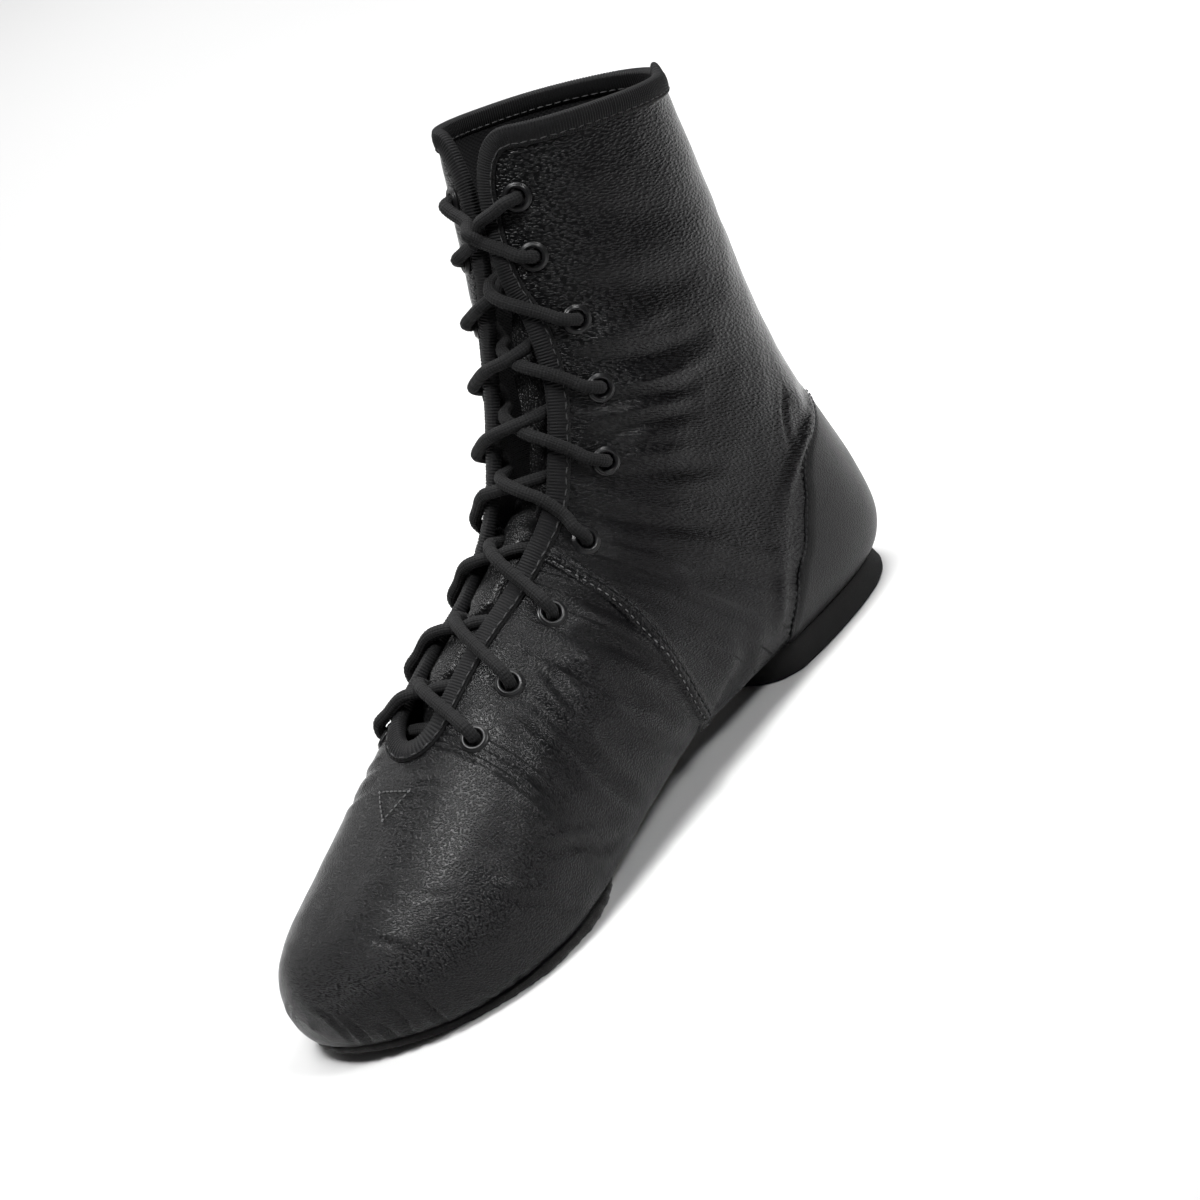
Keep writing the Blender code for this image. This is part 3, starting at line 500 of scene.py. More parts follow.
# Sheets of places and marks joined together
def joined_sheets(sheets):
    bm = bmesh.new()
    for places, marks in sheets:
        mesh = mapped_sheet("sheet", places, marks)[0]
        bm.from_mesh(mesh)
        bpy.data.meshes.remove(mesh)
    return bm


def fill_holes(bm):
    bmesh.ops.holes_fill(bm, edges=[e for e in bm.edges if e.is_boundary], sides=0)


def mesh_of(bm, name):
    mesh = bpy.data.meshes.new(name)
    bm.to_mesh(mesh)
    bm.free()
    return mesh


# Joined sheets with their seams closed and their open ends filled
def closed_sheets(name, sheets):
    bm = joined_sheets(sheets)
    bmesh.ops.remove_doubles(bm, verts=bm.verts, dist=0.002 * MM)
    fill_holes(bm)
    return mesh_of(bm, name)


# Finished piece: seams closed, normals outward, smooth, riding on the boot
def finish_piece(mesh, coats, replaced, merge=0.004):
    bm = bmesh.new()
    bm.from_mesh(mesh)
    bmesh.ops.remove_doubles(bm, verts=bm.verts, dist=merge * MM)
    bmesh.ops.dissolve_degenerate(bm, dist=1e-6, edges=bm.edges)
    bmesh.ops.recalc_face_normals(bm, faces=bm.faces)
    for face in bm.faces:
        face.smooth = True
    bm.to_mesh(mesh)
    bm.free()
    for coat in coats:
        mesh.materials.append(coat)
    piece = bpy.data.objects.new(mesh.name, mesh)
    bpy.context.scene.collection.objects.link(piece)
    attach(piece, "root")
    if replaced:
        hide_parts(*replaced)
    return piece


def flat_marks(places):
    run = np.cumsum(np.linalg.norm(np.diff(places, axis=0, prepend=places[:1]), axis=2), axis=0).mean(1)
    wide = np.cumsum(np.linalg.norm(np.diff(places, axis=1, prepend=places[:, :1]), axis=2), axis=1)
    return np.stack((wide, np.broadcast_to(run[:, None], wide.shape)), -1)


# Shader helpers
def new_material(name):
    made = bpy.data.materials.new(name)
    made.use_nodes = True
    return made, made.node_tree, made.node_tree.nodes["Principled BSDF"]


def add(tree, kind, **settings):
    node = tree.nodes.new(kind)
    for key, value in settings.items():
        setattr(node, key, value)
    return node


def maths(tree, operation, first, second=None):
    node = add(tree, "ShaderNodeMath", operation=operation)
    for k, value in enumerate((first, second)):
        if value is None:
            continue
        if isinstance(value, (int, float)):
            node.inputs[k].default_value = value
        else:
            tree.links.new(value, node.inputs[k])
    return node.outputs[0]


def ramp(tree, value, low, high, to_low, to_high):
    node = add(tree, "ShaderNodeMapRange", interpolation_type="SMOOTHSTEP")
    tree.links.new(value, node.inputs["Value"])
    node.inputs["From Min"].default_value = low
    node.inputs["From Max"].default_value = high
    node.inputs["To Min"].default_value = to_low
    node.inputs["To Max"].default_value = to_high
    return node.outputs[0]


def mix_colour(tree, share, dark, light):
    node = add(tree, "ShaderNodeMix", data_type="RGBA")
    tree.links.new(share, node.inputs["Factor"])
    node.inputs["A"].default_value = (*dark, 1.0)
    node.inputs["B"].default_value = (*light, 1.0)
    return node.outputs["Result"]


def bumped(tree, shader, height, distance):
    node = add(tree, "ShaderNodeBump")
    node.inputs["Strength"].default_value = 1.0
    node.inputs["Distance"].default_value = distance
    tree.links.new(height, node.inputs["Height"])
    tree.links.new(node.outputs[0], shader.inputs["Normal"])


def weighted(tree, first, first_share, second, second_share):
    parts = (maths(tree, "MULTIPLY", first, first_share), maths(tree, "MULTIPLY", second, second_share))
    return maths(tree, "ADD", *parts)


def vector_maths(tree, operation, first, second):
    node = add(tree, "ShaderNodeVectorMath", operation=operation)
    tree.links.new(first, node.inputs[0])
    if isinstance(second, tuple):
        node.inputs[1].default_value = second
    else:
        tree.links.new(second, node.inputs[1])
    return node.outputs[0]


def noise(tree, lay, scale, detail, dimensions="2D"):
    node = add(tree, "ShaderNodeTexNoise", noise_dimensions=dimensions)
    node.inputs["Scale"].default_value = scale
    node.inputs["Detail"].default_value = detail
    tree.links.new(lay, node.inputs["Vector"])
    return node.outputs


# Rounded cells, high in their middles
def pebbles(tree, lay, scale, smoothness, low, high):
    node = add(tree, "ShaderNodeTexVoronoi", feature="SMOOTH_F1", voronoi_dimensions="2D")
    node.inputs["Scale"].default_value = scale
    node.inputs["Smoothness"].default_value = smoothness
    tree.links.new(lay, node.inputs["Vector"])
    return ramp(tree, node.outputs["Distance"], low, high, 1.0, 0.0)


def effect_group(name, outputs):
    group = bpy.data.node_groups.new(name, "ShaderNodeTree")
    group.interface.new_socket(name="Lay", in_out="INPUT", socket_type="NodeSocketVector")
    for out in outputs:
        group.interface.new_socket(name=out, in_out="OUTPUT", socket_type="NodeSocketFloat")
    return group, add(group, "NodeGroupInput"), add(group, "NodeGroupOutput")


# Grain of soft leather: pebbles on the foot, wrinkles drawn out round the leg on the shaft
def leather_grain():
    group, start, end = effect_group("leather_grain", ("Height", "Pebble", "Patch"))
    group.interface.new_socket(name="Shaft", in_out="INPUT", socket_type="NodeSocketFloat")
    lay = start.outputs["Lay"]
    pull = vector_maths(group, "MULTIPLY", noise(group, lay, 0.7, 2.0)["Color"], (0.7, 0.7, 0.7))
    moved = vector_maths(group, "ADD", lay, pull)
    drawn = vector_maths(group, "MULTIPLY", moved, (0.36, 1.0, 1.0))
    pebble = pebbles(group, moved, 1.45, 0.35, 0.12, 0.62)
    wrinkle = pebbles(group, drawn, 1.4, 0.45, 0.08, 0.58)
    shaft = start.outputs["Shaft"]
    body = weighted(group, pebble, maths(group, "SUBTRACT", 1.0, shaft), wrinkle, shaft)
    pores = noise(group, lay, 3.2, 3.0)["Fac"]
    group.links.new(weighted(group, body, 0.8, pores, 0.3), end.inputs["Height"])
    group.links.new(body, end.inputs["Pebble"])
    group.links.new(noise(group, lay, 0.06, 3.0)["Fac"], end.inputs["Patch"])
    return group


# Woven cloth: crossing threads at a pitch of one millimetre
def cloth_weave():
    group, start, end = effect_group("cloth_weave", ("Height",))
    lay = start.outputs["Lay"]
    split = add(group, "ShaderNodeSeparateXYZ")
    group.links.new(lay, split.inputs[0])
    warp, weft = (maths(group, "SINE", maths(group, "MULTIPLY", split.outputs[way], 6.2832)) for way in "XY")
    crossed = maths(group, "ADD", maths(group, "MULTIPLY", maths(group, "MULTIPLY", warp, weft), 0.5), 0.5)
    fuzz = noise(group, lay, 2.4, 4.0)["Fac"]
    group.links.new(weighted(group, crossed, 0.6, fuzz, 0.5), end.inputs["Height"])
    return group


# Nap and crumb of suede and rubber
def crumb_nap():
    group, start, end = effect_group("crumb_nap", ("Height", "Speck", "Patch"))
    lay = start.outputs["Lay"]
    speck = add(group, "ShaderNodeTexVoronoi", feature="F1", voronoi_dimensions="3D")
    speck.inputs["Scale"].default_value = 330.0
    group.links.new(lay, speck.inputs["Vector"])
    group.links.new(noise(group, lay, 2200.0, 4.0, "3D")["Fac"], end.inputs["Height"])
    group.links.new(ramp(group, speck.outputs["Distance"], 0.05, 0.12, 1.0, 0.0), end.inputs["Speck"])
    group.links.new(noise(group, lay, 90.0, 3.0, "3D")["Fac"], end.inputs["Patch"])
    return group


GRAIN = leather_grain()
WEAVE = cloth_weave()
NAP = crumb_nap()


def use_effect(tree, group, kind="UV", stretch=(1.0, 1.0, 1.0)):
    place = add(tree, "ShaderNodeTexCoord")
    size = add(tree, "ShaderNodeMapping")
    size.inputs["Scale"].default_value = stretch
    tree.links.new(place.outputs[kind], size.inputs["Vector"])
    node = add(tree, "ShaderNodeGroup", node_tree=group)
    tree.links.new(size.outputs[0], node.inputs["Lay"])
    return node


def leather_coat(name, dark, light, rough_low, rough_high, depth, stretch=(1.0, 1.0, 1.0)):
    made, tree, shader = new_material(name)
    grain = use_effect(tree, GRAIN, "UV", stretch)
    shaft = add(tree, "ShaderNodeAttribute", attribute_name="shaft")
    tree.links.new(shaft.outputs["Fac"], grain.inputs["Shaft"])
    tree.links.new(mix_colour(tree, grain.outputs["Pebble"], dark, light), shader.inputs["Base Color"])
    rough = ramp(tree, grain.outputs["Patch"], 0.3, 0.7, rough_low, rough_high)
    valley = maths(tree, "MULTIPLY", maths(tree, "SUBTRACT", 1.0, grain.outputs["Pebble"]), 0.04)
    tree.links.new(maths(tree, "ADD", rough, valley), shader.inputs["Roughness"])
    shader.inputs["Specular IOR Level"].default_value = 0.18
    bumped(tree, shader, grain.outputs["Height"], depth)
    return made


def cloth_coat(name, dark, light, rough, depth, stretch):
    made, tree, shader = new_material(name)
    weave = use_effect(tree, WEAVE, "UV", stretch)
    tree.links.new(mix_colour(tree, weave.outputs["Height"], dark, light), shader.inputs["Base Color"])
    shader.inputs["Roughness"].default_value = rough
    shader.inputs["Specular IOR Level"].default_value = 0.12
    shader.inputs["Sheen Weight"].default_value = 0.04
    shader.inputs["Sheen Roughness"].default_value = 0.5
    bumped(tree, shader, weave.outputs["Height"], depth)
    return made


def nap_coat(name, dark, light, rough, depth, sheen, speck):
    made, tree, shader = new_material(name)
    nap = use_effect(tree, NAP, "Object")
    share = weighted(tree, nap.outputs["Patch"], 0.8, nap.outputs["Speck"], speck)
    tree.links.new(mix_colour(tree, share, dark, light), shader.inputs["Base Color"])
    shader.inputs["Roughness"].default_value = rough
    shader.inputs["Specular IOR Level"].default_value = 0.12
    shader.inputs["Sheen Weight"].default_value = sheen
    bumped(tree, shader, nap.outputs["Height"], depth)
    return made


def enamel_coat():
    made, tree, shader = new_material("eyelet_enamel_black")
    nap = use_effect(tree, NAP, "Object")
    black = mix_colour(tree, nap.outputs["Patch"], (0.005, 0.005, 0.0055), (0.009, 0.009, 0.0095))
    tree.links.new(black, shader.inputs["Base Color"])
    tree.links.new(ramp(tree, nap.outputs["Patch"], 0.3, 0.7, 0.24, 0.36), shader.inputs["Roughness"])
    shader.inputs["Specular IOR Level"].default_value = 0.35
    bumped(tree, shader, nap.outputs["Height"], 0.00001)
    return made


# Leathers: dark and light tone, lowest and highest roughness, depth of the grain
leather_black = leather_coat(
    "boot_leather_black", (0.0035, 0.0035, 0.0038), (0.0075, 0.0075, 0.0078), 0.16, 0.22, 0.00017)
counter_black = leather_coat(
    "counter_leather_black", (0.005, 0.005, 0.0052), (0.0075, 0.0075, 0.0078), 0.28, 0.34, 0.00008,
    (1.3, 1.3, 1.0))
tongue_black = leather_coat(
    "tongue_leather_black", (0.005, 0.005, 0.0052), (0.011, 0.011, 0.0113), 0.16, 0.22, 0.00017)

# Woven things: dark and light tone, roughness, depth and closeness of the weave
lining_twill = cloth_coat(
    "lining_twill", (0.004, 0.004, 0.0045), (0.022, 0.022, 0.023), 0.85, 0.0003, (0.55, 0.8, 1.0))
tape_cloth = cloth_coat(
    "binding_tape_ribbed", (0.0035, 0.0035, 0.004), (0.009, 0.009, 0.0095), 0.55, 0.00010, (2.0, 2.0, 1.0))
lace_cloth = cloth_coat(
    "lace_braid_black", (0.001, 0.001, 0.0012), (0.017, 0.017, 0.0175), 0.7, 0.00030, (1.0, 1.0, 1.0))
thread_grey, thread_light, thread_black = (
    cloth_coat(name, dark, light, 0.5, 0.00005, (3.0, 3.0, 1.0)) for name, dark, light in (
        ("thread_grey", (0.035, 0.035, 0.036), (0.08, 0.08, 0.081)),
        ("thread_light", (0.07, 0.07, 0.071), (0.15, 0.15, 0.151)),
        ("thread_black", (0.008, 0.008, 0.009), (0.02, 0.02, 0.021))))

# Suede, rubber and sock: dark and light tone, roughness, depth of the nap, sheen and share of specks
suede_raw = nap_coat(
    "sole_suede_raw", (0.010, 0.010, 0.010), (0.030, 0.029, 0.028), 0.95, 0.0003, 0.3, 0.15)
heel_crumb = nap_coat(
    "heel_rubber_crumb", (0.008, 0.008, 0.008), (0.015, 0.015, 0.015), 0.75, 0.00025, 0.0, 0.9)
insole_cloth = nap_coat(
    "insole_fabric_black", (0.012, 0.012, 0.013), (0.026, 0.026, 0.027), 0.9, 0.0002, 0.2, 0.1)
enamel_black = enamel_coat()


# Upper: leather outside and lining inside in one closed shell
def station_rows():
    below = ((0.0, 0.3, 7), (0.3, 5.3, 82), (5.3, THROAT_FOOT, 6))
    above = ((6.0, 7.7, 30), (7.7, 8.95, 44), (8.95, 13.4, 88), (13.4, 15.5, 38), (15.5, 16.0, 14))
    rows = [np.linspace(low, high, count, endpoint=False) for low, high, count in below]
    rows.append(THROAT_FOOT + (6.0 - THROAT_FOOT) * (np.arange(28) / 28.0) ** 2)
    rows += [np.linspace(low, high, count, endpoint=False) for low, high, count in above]
    return np.concatenate(rows + [(COLLAR,)])


OUTER_COLUMNS = 214
INNER_COLUMNS = 70
EYELET_HOLE = 3.0


# Shares round the lining, closer together along both facings
def lining_shares():
    at = np.linspace(0.0, 1.0, INNER_COLUMNS)
    return 1.0 - (at - 0.085 * np.sin(2.0 * np.pi * at))


# Round holes through leather and lining at the eyelets, with closed walls
def cut_eyelet_holes(bm):
    for middle, _, _, normal in eyelet_frames():
        centre = Vector(middle * MM)
        axis = Vector(normal)

        def inside(spot, reach):
            gap = spot - centre
            depth = gap.dot(axis)
            return abs(depth) < 0.006 and (gap - axis * depth).length < reach * MM

        gone = [f for f in bm.faces if inside(f.calc_center_median(), EYELET_HOLE)]
        bmesh.ops.delete(bm, geom=gone, context="FACES")
        edges = [e for e in bm.edges if e.is_boundary]
        rim = [e for e in edges if all(inside(v.co, EYELET_HOLE + 2.0) for v in e.verts)]
        bmesh.ops.bridge_loops(bm, edges=rim)


def eyelet_frames():
    frames = []
    for row in EYELETS:
        for side in (row[1], -row[2]):
            turn = float(turn_at(row[0], side))
            _, around, normal = (v.reshape(3) for v in skin_axes(row[0], turn))
            across = unit(around)
            middle = leather(np.array([row[0]]), np.array([turn]))[0]
            frames.append((middle, across, np.cross(normal, across), normal))
    return frames


def build_upper():
    stations = station_rows()
    lateral, medial = throat_turns(stations)
    spread = 360.0 - medial - lateral
    share = np.linspace(0.0, 1.0, OUTER_COLUMNS)
    turns = lateral[:, None] + spread[:, None] * share[None, :]
    grid = np.broadcast_to(stations[:, None], turns.shape)
    outside = leather(grid, turns)
    share = lining_shares()
    inner_turns = lateral[:, None] + spread[:, None] * share[None, :]
    inner_grid = np.broadcast_to(np.maximum(stations, 0.12)[:, None], inner_turns.shape)
    inside = skin(inner_grid, inner_turns, np.full(inner_turns.shape, -LEATHER_WALL - 0.5))
    inside[stations < 0.12] = inside[np.argmax(stations >= 0.12)]
    bare = bare_skin(grid, turns)
    around = np.cumsum(np.linalg.norm(np.diff(bare, axis=1, prepend=bare[:, :1]), axis=2), axis=1)
    middle = np.argmin(np.abs(turns - 180.0), axis=1)
    around = around - around[np.arange(len(stations)), middle][:, None]
    run = run_length(bare_skin(stations, 95.0))[:, None]
    outer_marks = np.stack(np.broadcast_arrays(around, run), -1)
    inner_marks = np.stack(np.broadcast_arrays((share * 190.0)[None, :], run), -1)
    places = np.concatenate((outside, inside, outside[:, :1]), axis=1)
    marks = np.concatenate((outer_marks, inner_marks, outer_marks[:, :1]), axis=1)
    mesh, a, b = mapped_sheet("boot_upper", places, marks)
    shaft = mesh.attributes.new("shaft", "FLOAT", "POINT")
    shaft.data.foreach_set("value", soft_step((stations[a] - 8.3) / 2.0).astype(np.float32))
    bm = bmesh.new()
    bm.from_mesh(mesh)
    rim = []
    foot = int(np.argmax(stations > THROAT_FOOT - 0.001))
    for face in bm.faces:
        rows = [a[v.index] for v in face.verts]
        columns = [b[v.index] for v in face.verts]
        if min(columns) >= OUTER_COLUMNS - 1:
            face.material_index = 1
        at_rim = min(columns) == OUTER_COLUMNS - 1 or max(columns) == OUTER_COLUMNS + INNER_COLUMNS
        if at_rim and max(rows) <= foot:
            rim.append(face)
    bmesh.ops.delete(bm, geom=rim, context="FACES")
    bmesh.ops.remove_doubles(bm, verts=bm.verts, dist=0.004 * MM)
    cut_eyelet_holes(bm)
    fill_holes(bm)
    bm.to_mesh(mesh)
    bm.free()
    return finish_piece(mesh, (leather_black, lining_twill), ("upper",))


build_upper()


# Closed shell from an outer and an inner grid of the same size
def shell_piece(name, outside, inside, marks, coats, replaced):
    places = np.concatenate((outside, inside[:, ::-1], outside[:, :1]), axis=1)
    all_marks = np.concatenate((marks, marks[:, ::-1], marks[:, :1]), axis=1)
    return finish_piece(closed_sheets(name, [(places, all_marks)]), coats, replaced)


# Folded seam of vamp and quarter: distance behind the quarter's edge and height over the leather
SEAM_PROFILE = (
    (-1.5, -0.35), (-0.95, 0.0), (-0.75, 0.42), (-0.35, 0.62), (0.05, 0.50), (0.4, 0.16), (0.75, 0.50),
    (1.2, 0.72), (1.7, 0.78), (2.2, 0.72), (2.65, 0.50), (3.0, 0.14), (3.35, 0.40), (3.9, 0.42), (4.6, 0.22),
    (5.4, -0.05), (6.0, -0.35))
SEAM_STITCH_PITCH = 2.6


# Raised double-stitched seam strip on both sides, puckered between the stitches
def build_seam():
    angles = even_line(np.linspace(25.5, 150.0, 500)[:, None], 0.33)[:, 0]
    base = along(SEAM, angles)
    wide = np.array([reach for reach, _ in SEAM_PROFILE])
    sheets = []
    for turns in (angles, -angles):
        up = np.linalg.norm(skin_axes(base, turns)[0], axis=1)
        run = run_length(bare_skin(base, turns))
        pucker = 0.5 + 0.5 * np.cos(2.0 * np.pi * run / SEAM_STITCH_PITCH)
        rows = []
        for reach, height in SEAM_PROFILE:
            puckered = 0.10 * pucker * math.exp(-((reach - 1.7) / 2.0) ** 2) if height > 0.0 else 0.0
            rows.append(leather(base + reach / up, turns, height + puckered))
        sheets.append((np.stack(rows, axis=1), np.stack(np.broadcast_arrays(wide[None, :], run[:, None]), -1)))
    bm = joined_sheets(sheets)
    sunk = bmesh.ops.extrude_edge_only(bm, edges=[e for e in bm.edges if e.is_boundary])
    for vert in (v for v in sunk["geom"] if isinstance(v, bmesh.types.BMVert)):
        inner = Vector((0.0, vert.co.y, 0.06))
        vert.co += (inner - vert.co).normalized() * 0.0009
    fill_holes(bm)
    return finish_piece(mesh_of(bm, "boot_seam"), (leather_black,), ())


build_seam()


# Heel counter: stretched smooth leather behind its stitched edge
def build_counter():
    stations = np.linspace(COUNTER_EDGE[0][0], COUNTER_EDGE[-1][0], 110)
    edge = along(COUNTER_EDGE, stations)
    share = np.linspace(0.0, 1.0, 150)
    turns = edge[:, None] + (360.0 - 2.0 * edge)[:, None] * share[None, :]
    grid = np.broadcast_to(stations[:, None], turns.shape)
    bare = bare_skin(grid, turns)
    rim = np.concatenate((bare[:, 0], bare[::-1, -1]))
    gap = np.full(turns.shape, 1e9)
    for spot in rim[::2]:
        gap = np.minimum(gap, ((bare - spot) ** 2).sum(2))
    gap = np.sqrt(gap)
    height = 0.12 + (COUNTER_THICK - 0.12) * soft_step(gap / 3.0)
    outside = skin(grid, turns, height)
    inside = skin(grid, turns, np.full(turns.shape, -0.5))
    return shell_piece(
        "boot_heel_counter", outside, inside, flat_marks(bare),
        (counter_black,), ("heel_counter",))


build_counter()


# Walk over the skin from edge points, inward across the surface
def walk(station, turn, direction, distance):
    for _ in range(4):
        up, around = skin_axes(station, turn)[:2]
        a = (up * up).sum(-1)
        b = (up * around).sum(-1)
        c = (around * around).sum(-1)
        p = (up * direction).sum(-1)
        q = (around * direction).sum(-1)
        scale = a * c - b * b
        station = station + (p * c - q * b) / scale * distance / 4.0
        turn = turn + (q * a - p * b) / scale * distance / 4.0
    return station, turn


# Line of the collar and throat edge as evenly spaced stations and turns
def binding_line(spacing):
    share = np.concatenate((np.linspace(0.0, 0.06, 60) ** 2 / 0.06, np.linspace(0.06, 1.0, 700)[1:]))
    run = THROAT_FOOT + (COLLAR - THROAT_FOOT) * share
    lateral, medial = throat_turns(run)
    across = np.linspace(lateral[-1], 360.0 - medial[-1], 400)[1:-1]
    stations = np.concatenate((run, np.full(len(across), COLLAR), run[::-1][:-1]))
    turns = np.concatenate((lateral, across, 360.0 - medial[::-1][:-1]))
    turns[0] = 0.0
    points = bare_skin(stations, turns)
    length = run_length(np.concatenate((points, points[:1])))
    count = int(length[-1] / spacing)
    at = np.linspace(0.0, length[-1], count, endpoint=False)
    stations = np.interp(at, length, np.concatenate((stations, stations[:1])))
    turns = np.interp(at, length, np.concatenate((turns, (360.0,))))
    return stations, turns, at, length[-1]


def edge_frame(stations, turns):
    points = bare_skin(stations, turns)
    tangent = np.roll(points, -3, axis=0) - np.roll(points, 3, axis=0)
    normal = skin_axes(stations, turns)[2]
    inward = unit(np.cross(unit(tangent), normal))
    return points, normal, inward


# Ribbed tape folded over the collar and throat edge
def build_binding():
    stations, turns, at, total = binding_line(TAPE_RIB / 5.0)
    points, normal, inward = edge_frame(stations, turns)
    count = len(stations)
    ribs = round(total / TAPE_RIB)
    rib = 0.5 + 0.5 * np.cos(2.0 * np.pi * ribs * np.arange(count) / count)
    rib = rib ** 0.7
    outside = TAPE_GAP + TAPE_THICK
    profile = (
        (TAPE_WIDTH, TAPE_GAP + 0.1, 0.2), (TAPE_WIDTH - 0.15, outside - 0.3, 0.6),
        (TAPE_WIDTH - 0.9, outside - 0.05, 1.0), (TAPE_STITCH + 0.5, outside - 0.05, 1.0),
        (TAPE_STITCH, outside - 0.3, 0.4), (TAPE_STITCH - 0.5, outside, 1.0),
        (2.6, outside + 0.25, 1.0), (1.0, outside + 0.2, 1.0), (0.0, outside - 0.1, 1.0))
    rings = []
    for reach, lift, ribbed in profile:
        u, t = walk(stations, turns, inward, reach)
        rings.append(skin(u, t, lift + (rib - 0.5) * 0.34 * ribbed))
    fold = []
    low = -LEATHER_WALL - 0.9
    peak = 2.8 * np.exp(-((turns - 150.0) / 6.0) ** 2) * (stations > COLLAR - 0.01)
    middle = (outside + low) * 0.5
    radius = (outside - low) * 0.5
    for angle in np.pi * np.arange(1, 8) / 8.0:
        out = (0.85 + peak) * math.sin(angle) + (rib - 0.5) * 0.30
        fold.append(points - inward * out[:, None] + normal * (middle + radius * math.cos(angle)))
    under = []
    hem = ((0.0, low), (2.4, low - 0.1), (TAPE_INSIDE - 0.2, low - 0.1), (TAPE_INSIDE, low + 0.4))
    for reach, lift in hem:
        u, t = walk(stations, turns, inward, reach)
        under.append(skin(u, t, lift - (rib - 0.5) * 0.2))
    ring = rings + fold + under
    places = np.stack(ring + ring[:1], axis=1)
    places = np.concatenate((places, places[:1]), axis=0)
    across = np.linspace(0.0, 22.0, places.shape[1])
    along_tape = np.concatenate((at, (total,)))
    marks = np.stack(np.broadcast_arrays(across[None, :], along_tape[:, None]), -1)
    mesh = mapped_sheet("boot_edge_binding", places, marks)[0]
    return finish_piece(mesh, (tape_cloth,), ("edge_binding",), merge=0.002)


build_binding()


# Many small capsules of thread joined in one mesh
def stitch_mesh(name, lines, length, radius):
    bm = bmesh.new()
    bmesh.ops.create_uvsphere(bm, u_segments=7, v_segments=6, radius=1.0)
    bm.verts.ensure_lookup_table()
    shape = np.array([v.co[:] for v in bm.verts])
    faces = [[v.index for v in f.verts] for f in bm.faces]
    bm.free()
    verts = []
    all_faces = []
    for middle, ahead, normal in lines:
        ahead = unit(ahead)
        side = unit(np.cross(ahead, normal))
        high = unit(np.cross(side, ahead))
        for k in range(len(middle)):
            base = len(verts)
            thick = (shape[:, :1] * side[k] + shape[:, 1:2] * high[k]) * radius
            verts.extend((middle[k] + shape[:, 2:3] * ahead[k] * length * 0.5 + thick) * MM)
            all_faces.extend([[base + i for i in f] for f in faces])
    mesh = bpy.data.meshes.new(name)
    mesh.from_pydata([tuple(v) for v in verts], [], all_faces)
    layer = mesh.uv_layers.new(name="lay")
    corner = np.empty(len(mesh.loops), int)
    mesh.loops.foreach_get("vertex_index", corner)
    spots = np.array(verts)[corner] / MM
    layer.data.foreach_set("uv", np.stack((spots[:, 1], spots[:, 2]), -1).ravel())
    return mesh


def leather_line(route, spacing, lift):
    route = smooth_line(route, 240)
    length = run_length(bare_skin(*route.T))
    count = max(int(length[-1] / spacing), 2)
    at = np.linspace(0.0, length[-1], count + 1)
    u = np.interp(at, length, route[:, 0])
    t = np.interp(at, length, route[:, 1])
    points = leather(u, t, lift)
    return points, np.gradient(points, axis=0), skin_axes(u, t)[2]


# Tack below the throat, and the length and radius of each kind of stitch
TACK = ((4.79, -4.3), (4.86, 10.0), (4.43, 3.7))
SEAM_THREAD = (1.9, 0.26)
LIGHT_THREAD = (1.35, 0.21)
TAPE_THREAD = (2.3, 0.20)


def build_stitches():
    dark = []
    light = []
    for sign in (1.0, -1.0):
        for offset, lines in zip(SEAM_LINES, (light, dark)):
            angles = np.linspace(32.0, 150.0, 60)
            u = along(SEAM, angles)
            up = np.linalg.norm(skin_axes(u, sign * angles)[0], axis=1)
            route = np.stack((u + offset / up, sign * angles), -1)
            lines.append(leather_line(route, SEAM_STITCH_PITCH, 0.52))
        counter = [(u, sign * t) for u, t in COUNTER_EDGE[1:-2]]
        dark.append(leather_line(counter, 2.3, 0.45))
    for k in range(3):
        light.append(leather_line((TACK[k], TACK[(k + 1) % 3]), 1.7, 0.24))
    finish_piece(stitch_mesh("boot_seam_stitches", dark, *SEAM_THREAD), (thread_black,), ())
    finish_piece(stitch_mesh("boot_light_stitches", light, *LIGHT_THREAD), (thread_light,), ())
    stations, turns, _, _ = binding_line(3.1)
    _, normal, inward = edge_frame(stations, turns)
    u, t = walk(stations, turns, inward, TAPE_STITCH)
    over = skin(u, t, np.full(u.shape, TAPE_GAP + TAPE_THICK - 0.12))
    ahead = np.roll(over, -1, axis=0) - np.roll(over, 1, axis=0)
    skew = unit(ahead) + inward * (0.12 * np.where(np.arange(len(u)) % 2, 1.0, -1.0))[:, None]
    u, t = walk(stations, turns, inward, TAPE_INSIDE - 0.9)
    within = skin(u, t, np.full(u.shape, -LEATHER_WALL - 1.1))
    inner = np.roll(within, -1, axis=0) - np.roll(within, 1, axis=0)
    mesh = stitch_mesh("boot_tape_stitches", [(over, skew, normal), (within, inner, normal)], *TAPE_THREAD)
    finish_piece(mesh, (thread_grey,), ())


build_stitches()


# Rolled black eyelet: radius and height round its section, from the bore over the flange and back
EYELET_PROFILE = (
    (2.62, -2.9), (2.60, -0.6), (2.62, 0.4), (2.78, 0.85), (3.1, 1.08), (3.5, 1.12), (3.78, 1.02),
    (3.92, 0.82), (4.0, 0.66), (4.22, 0.60), (4.45, 0.48), (4.6, 0.22), (4.55, -0.3), (3.3, -0.5),
    (3.1, -2.4), (3.9, -2.5), (4.1, -2.75), (3.8, -3.0), (2.9, -3.05))


# Angles once round, with the last one on the first
def round_angles(sides):
    angles = np.linspace(0.0, 2.0 * np.pi, sides + 1)
    angles[-1] = 0.0
    return angles


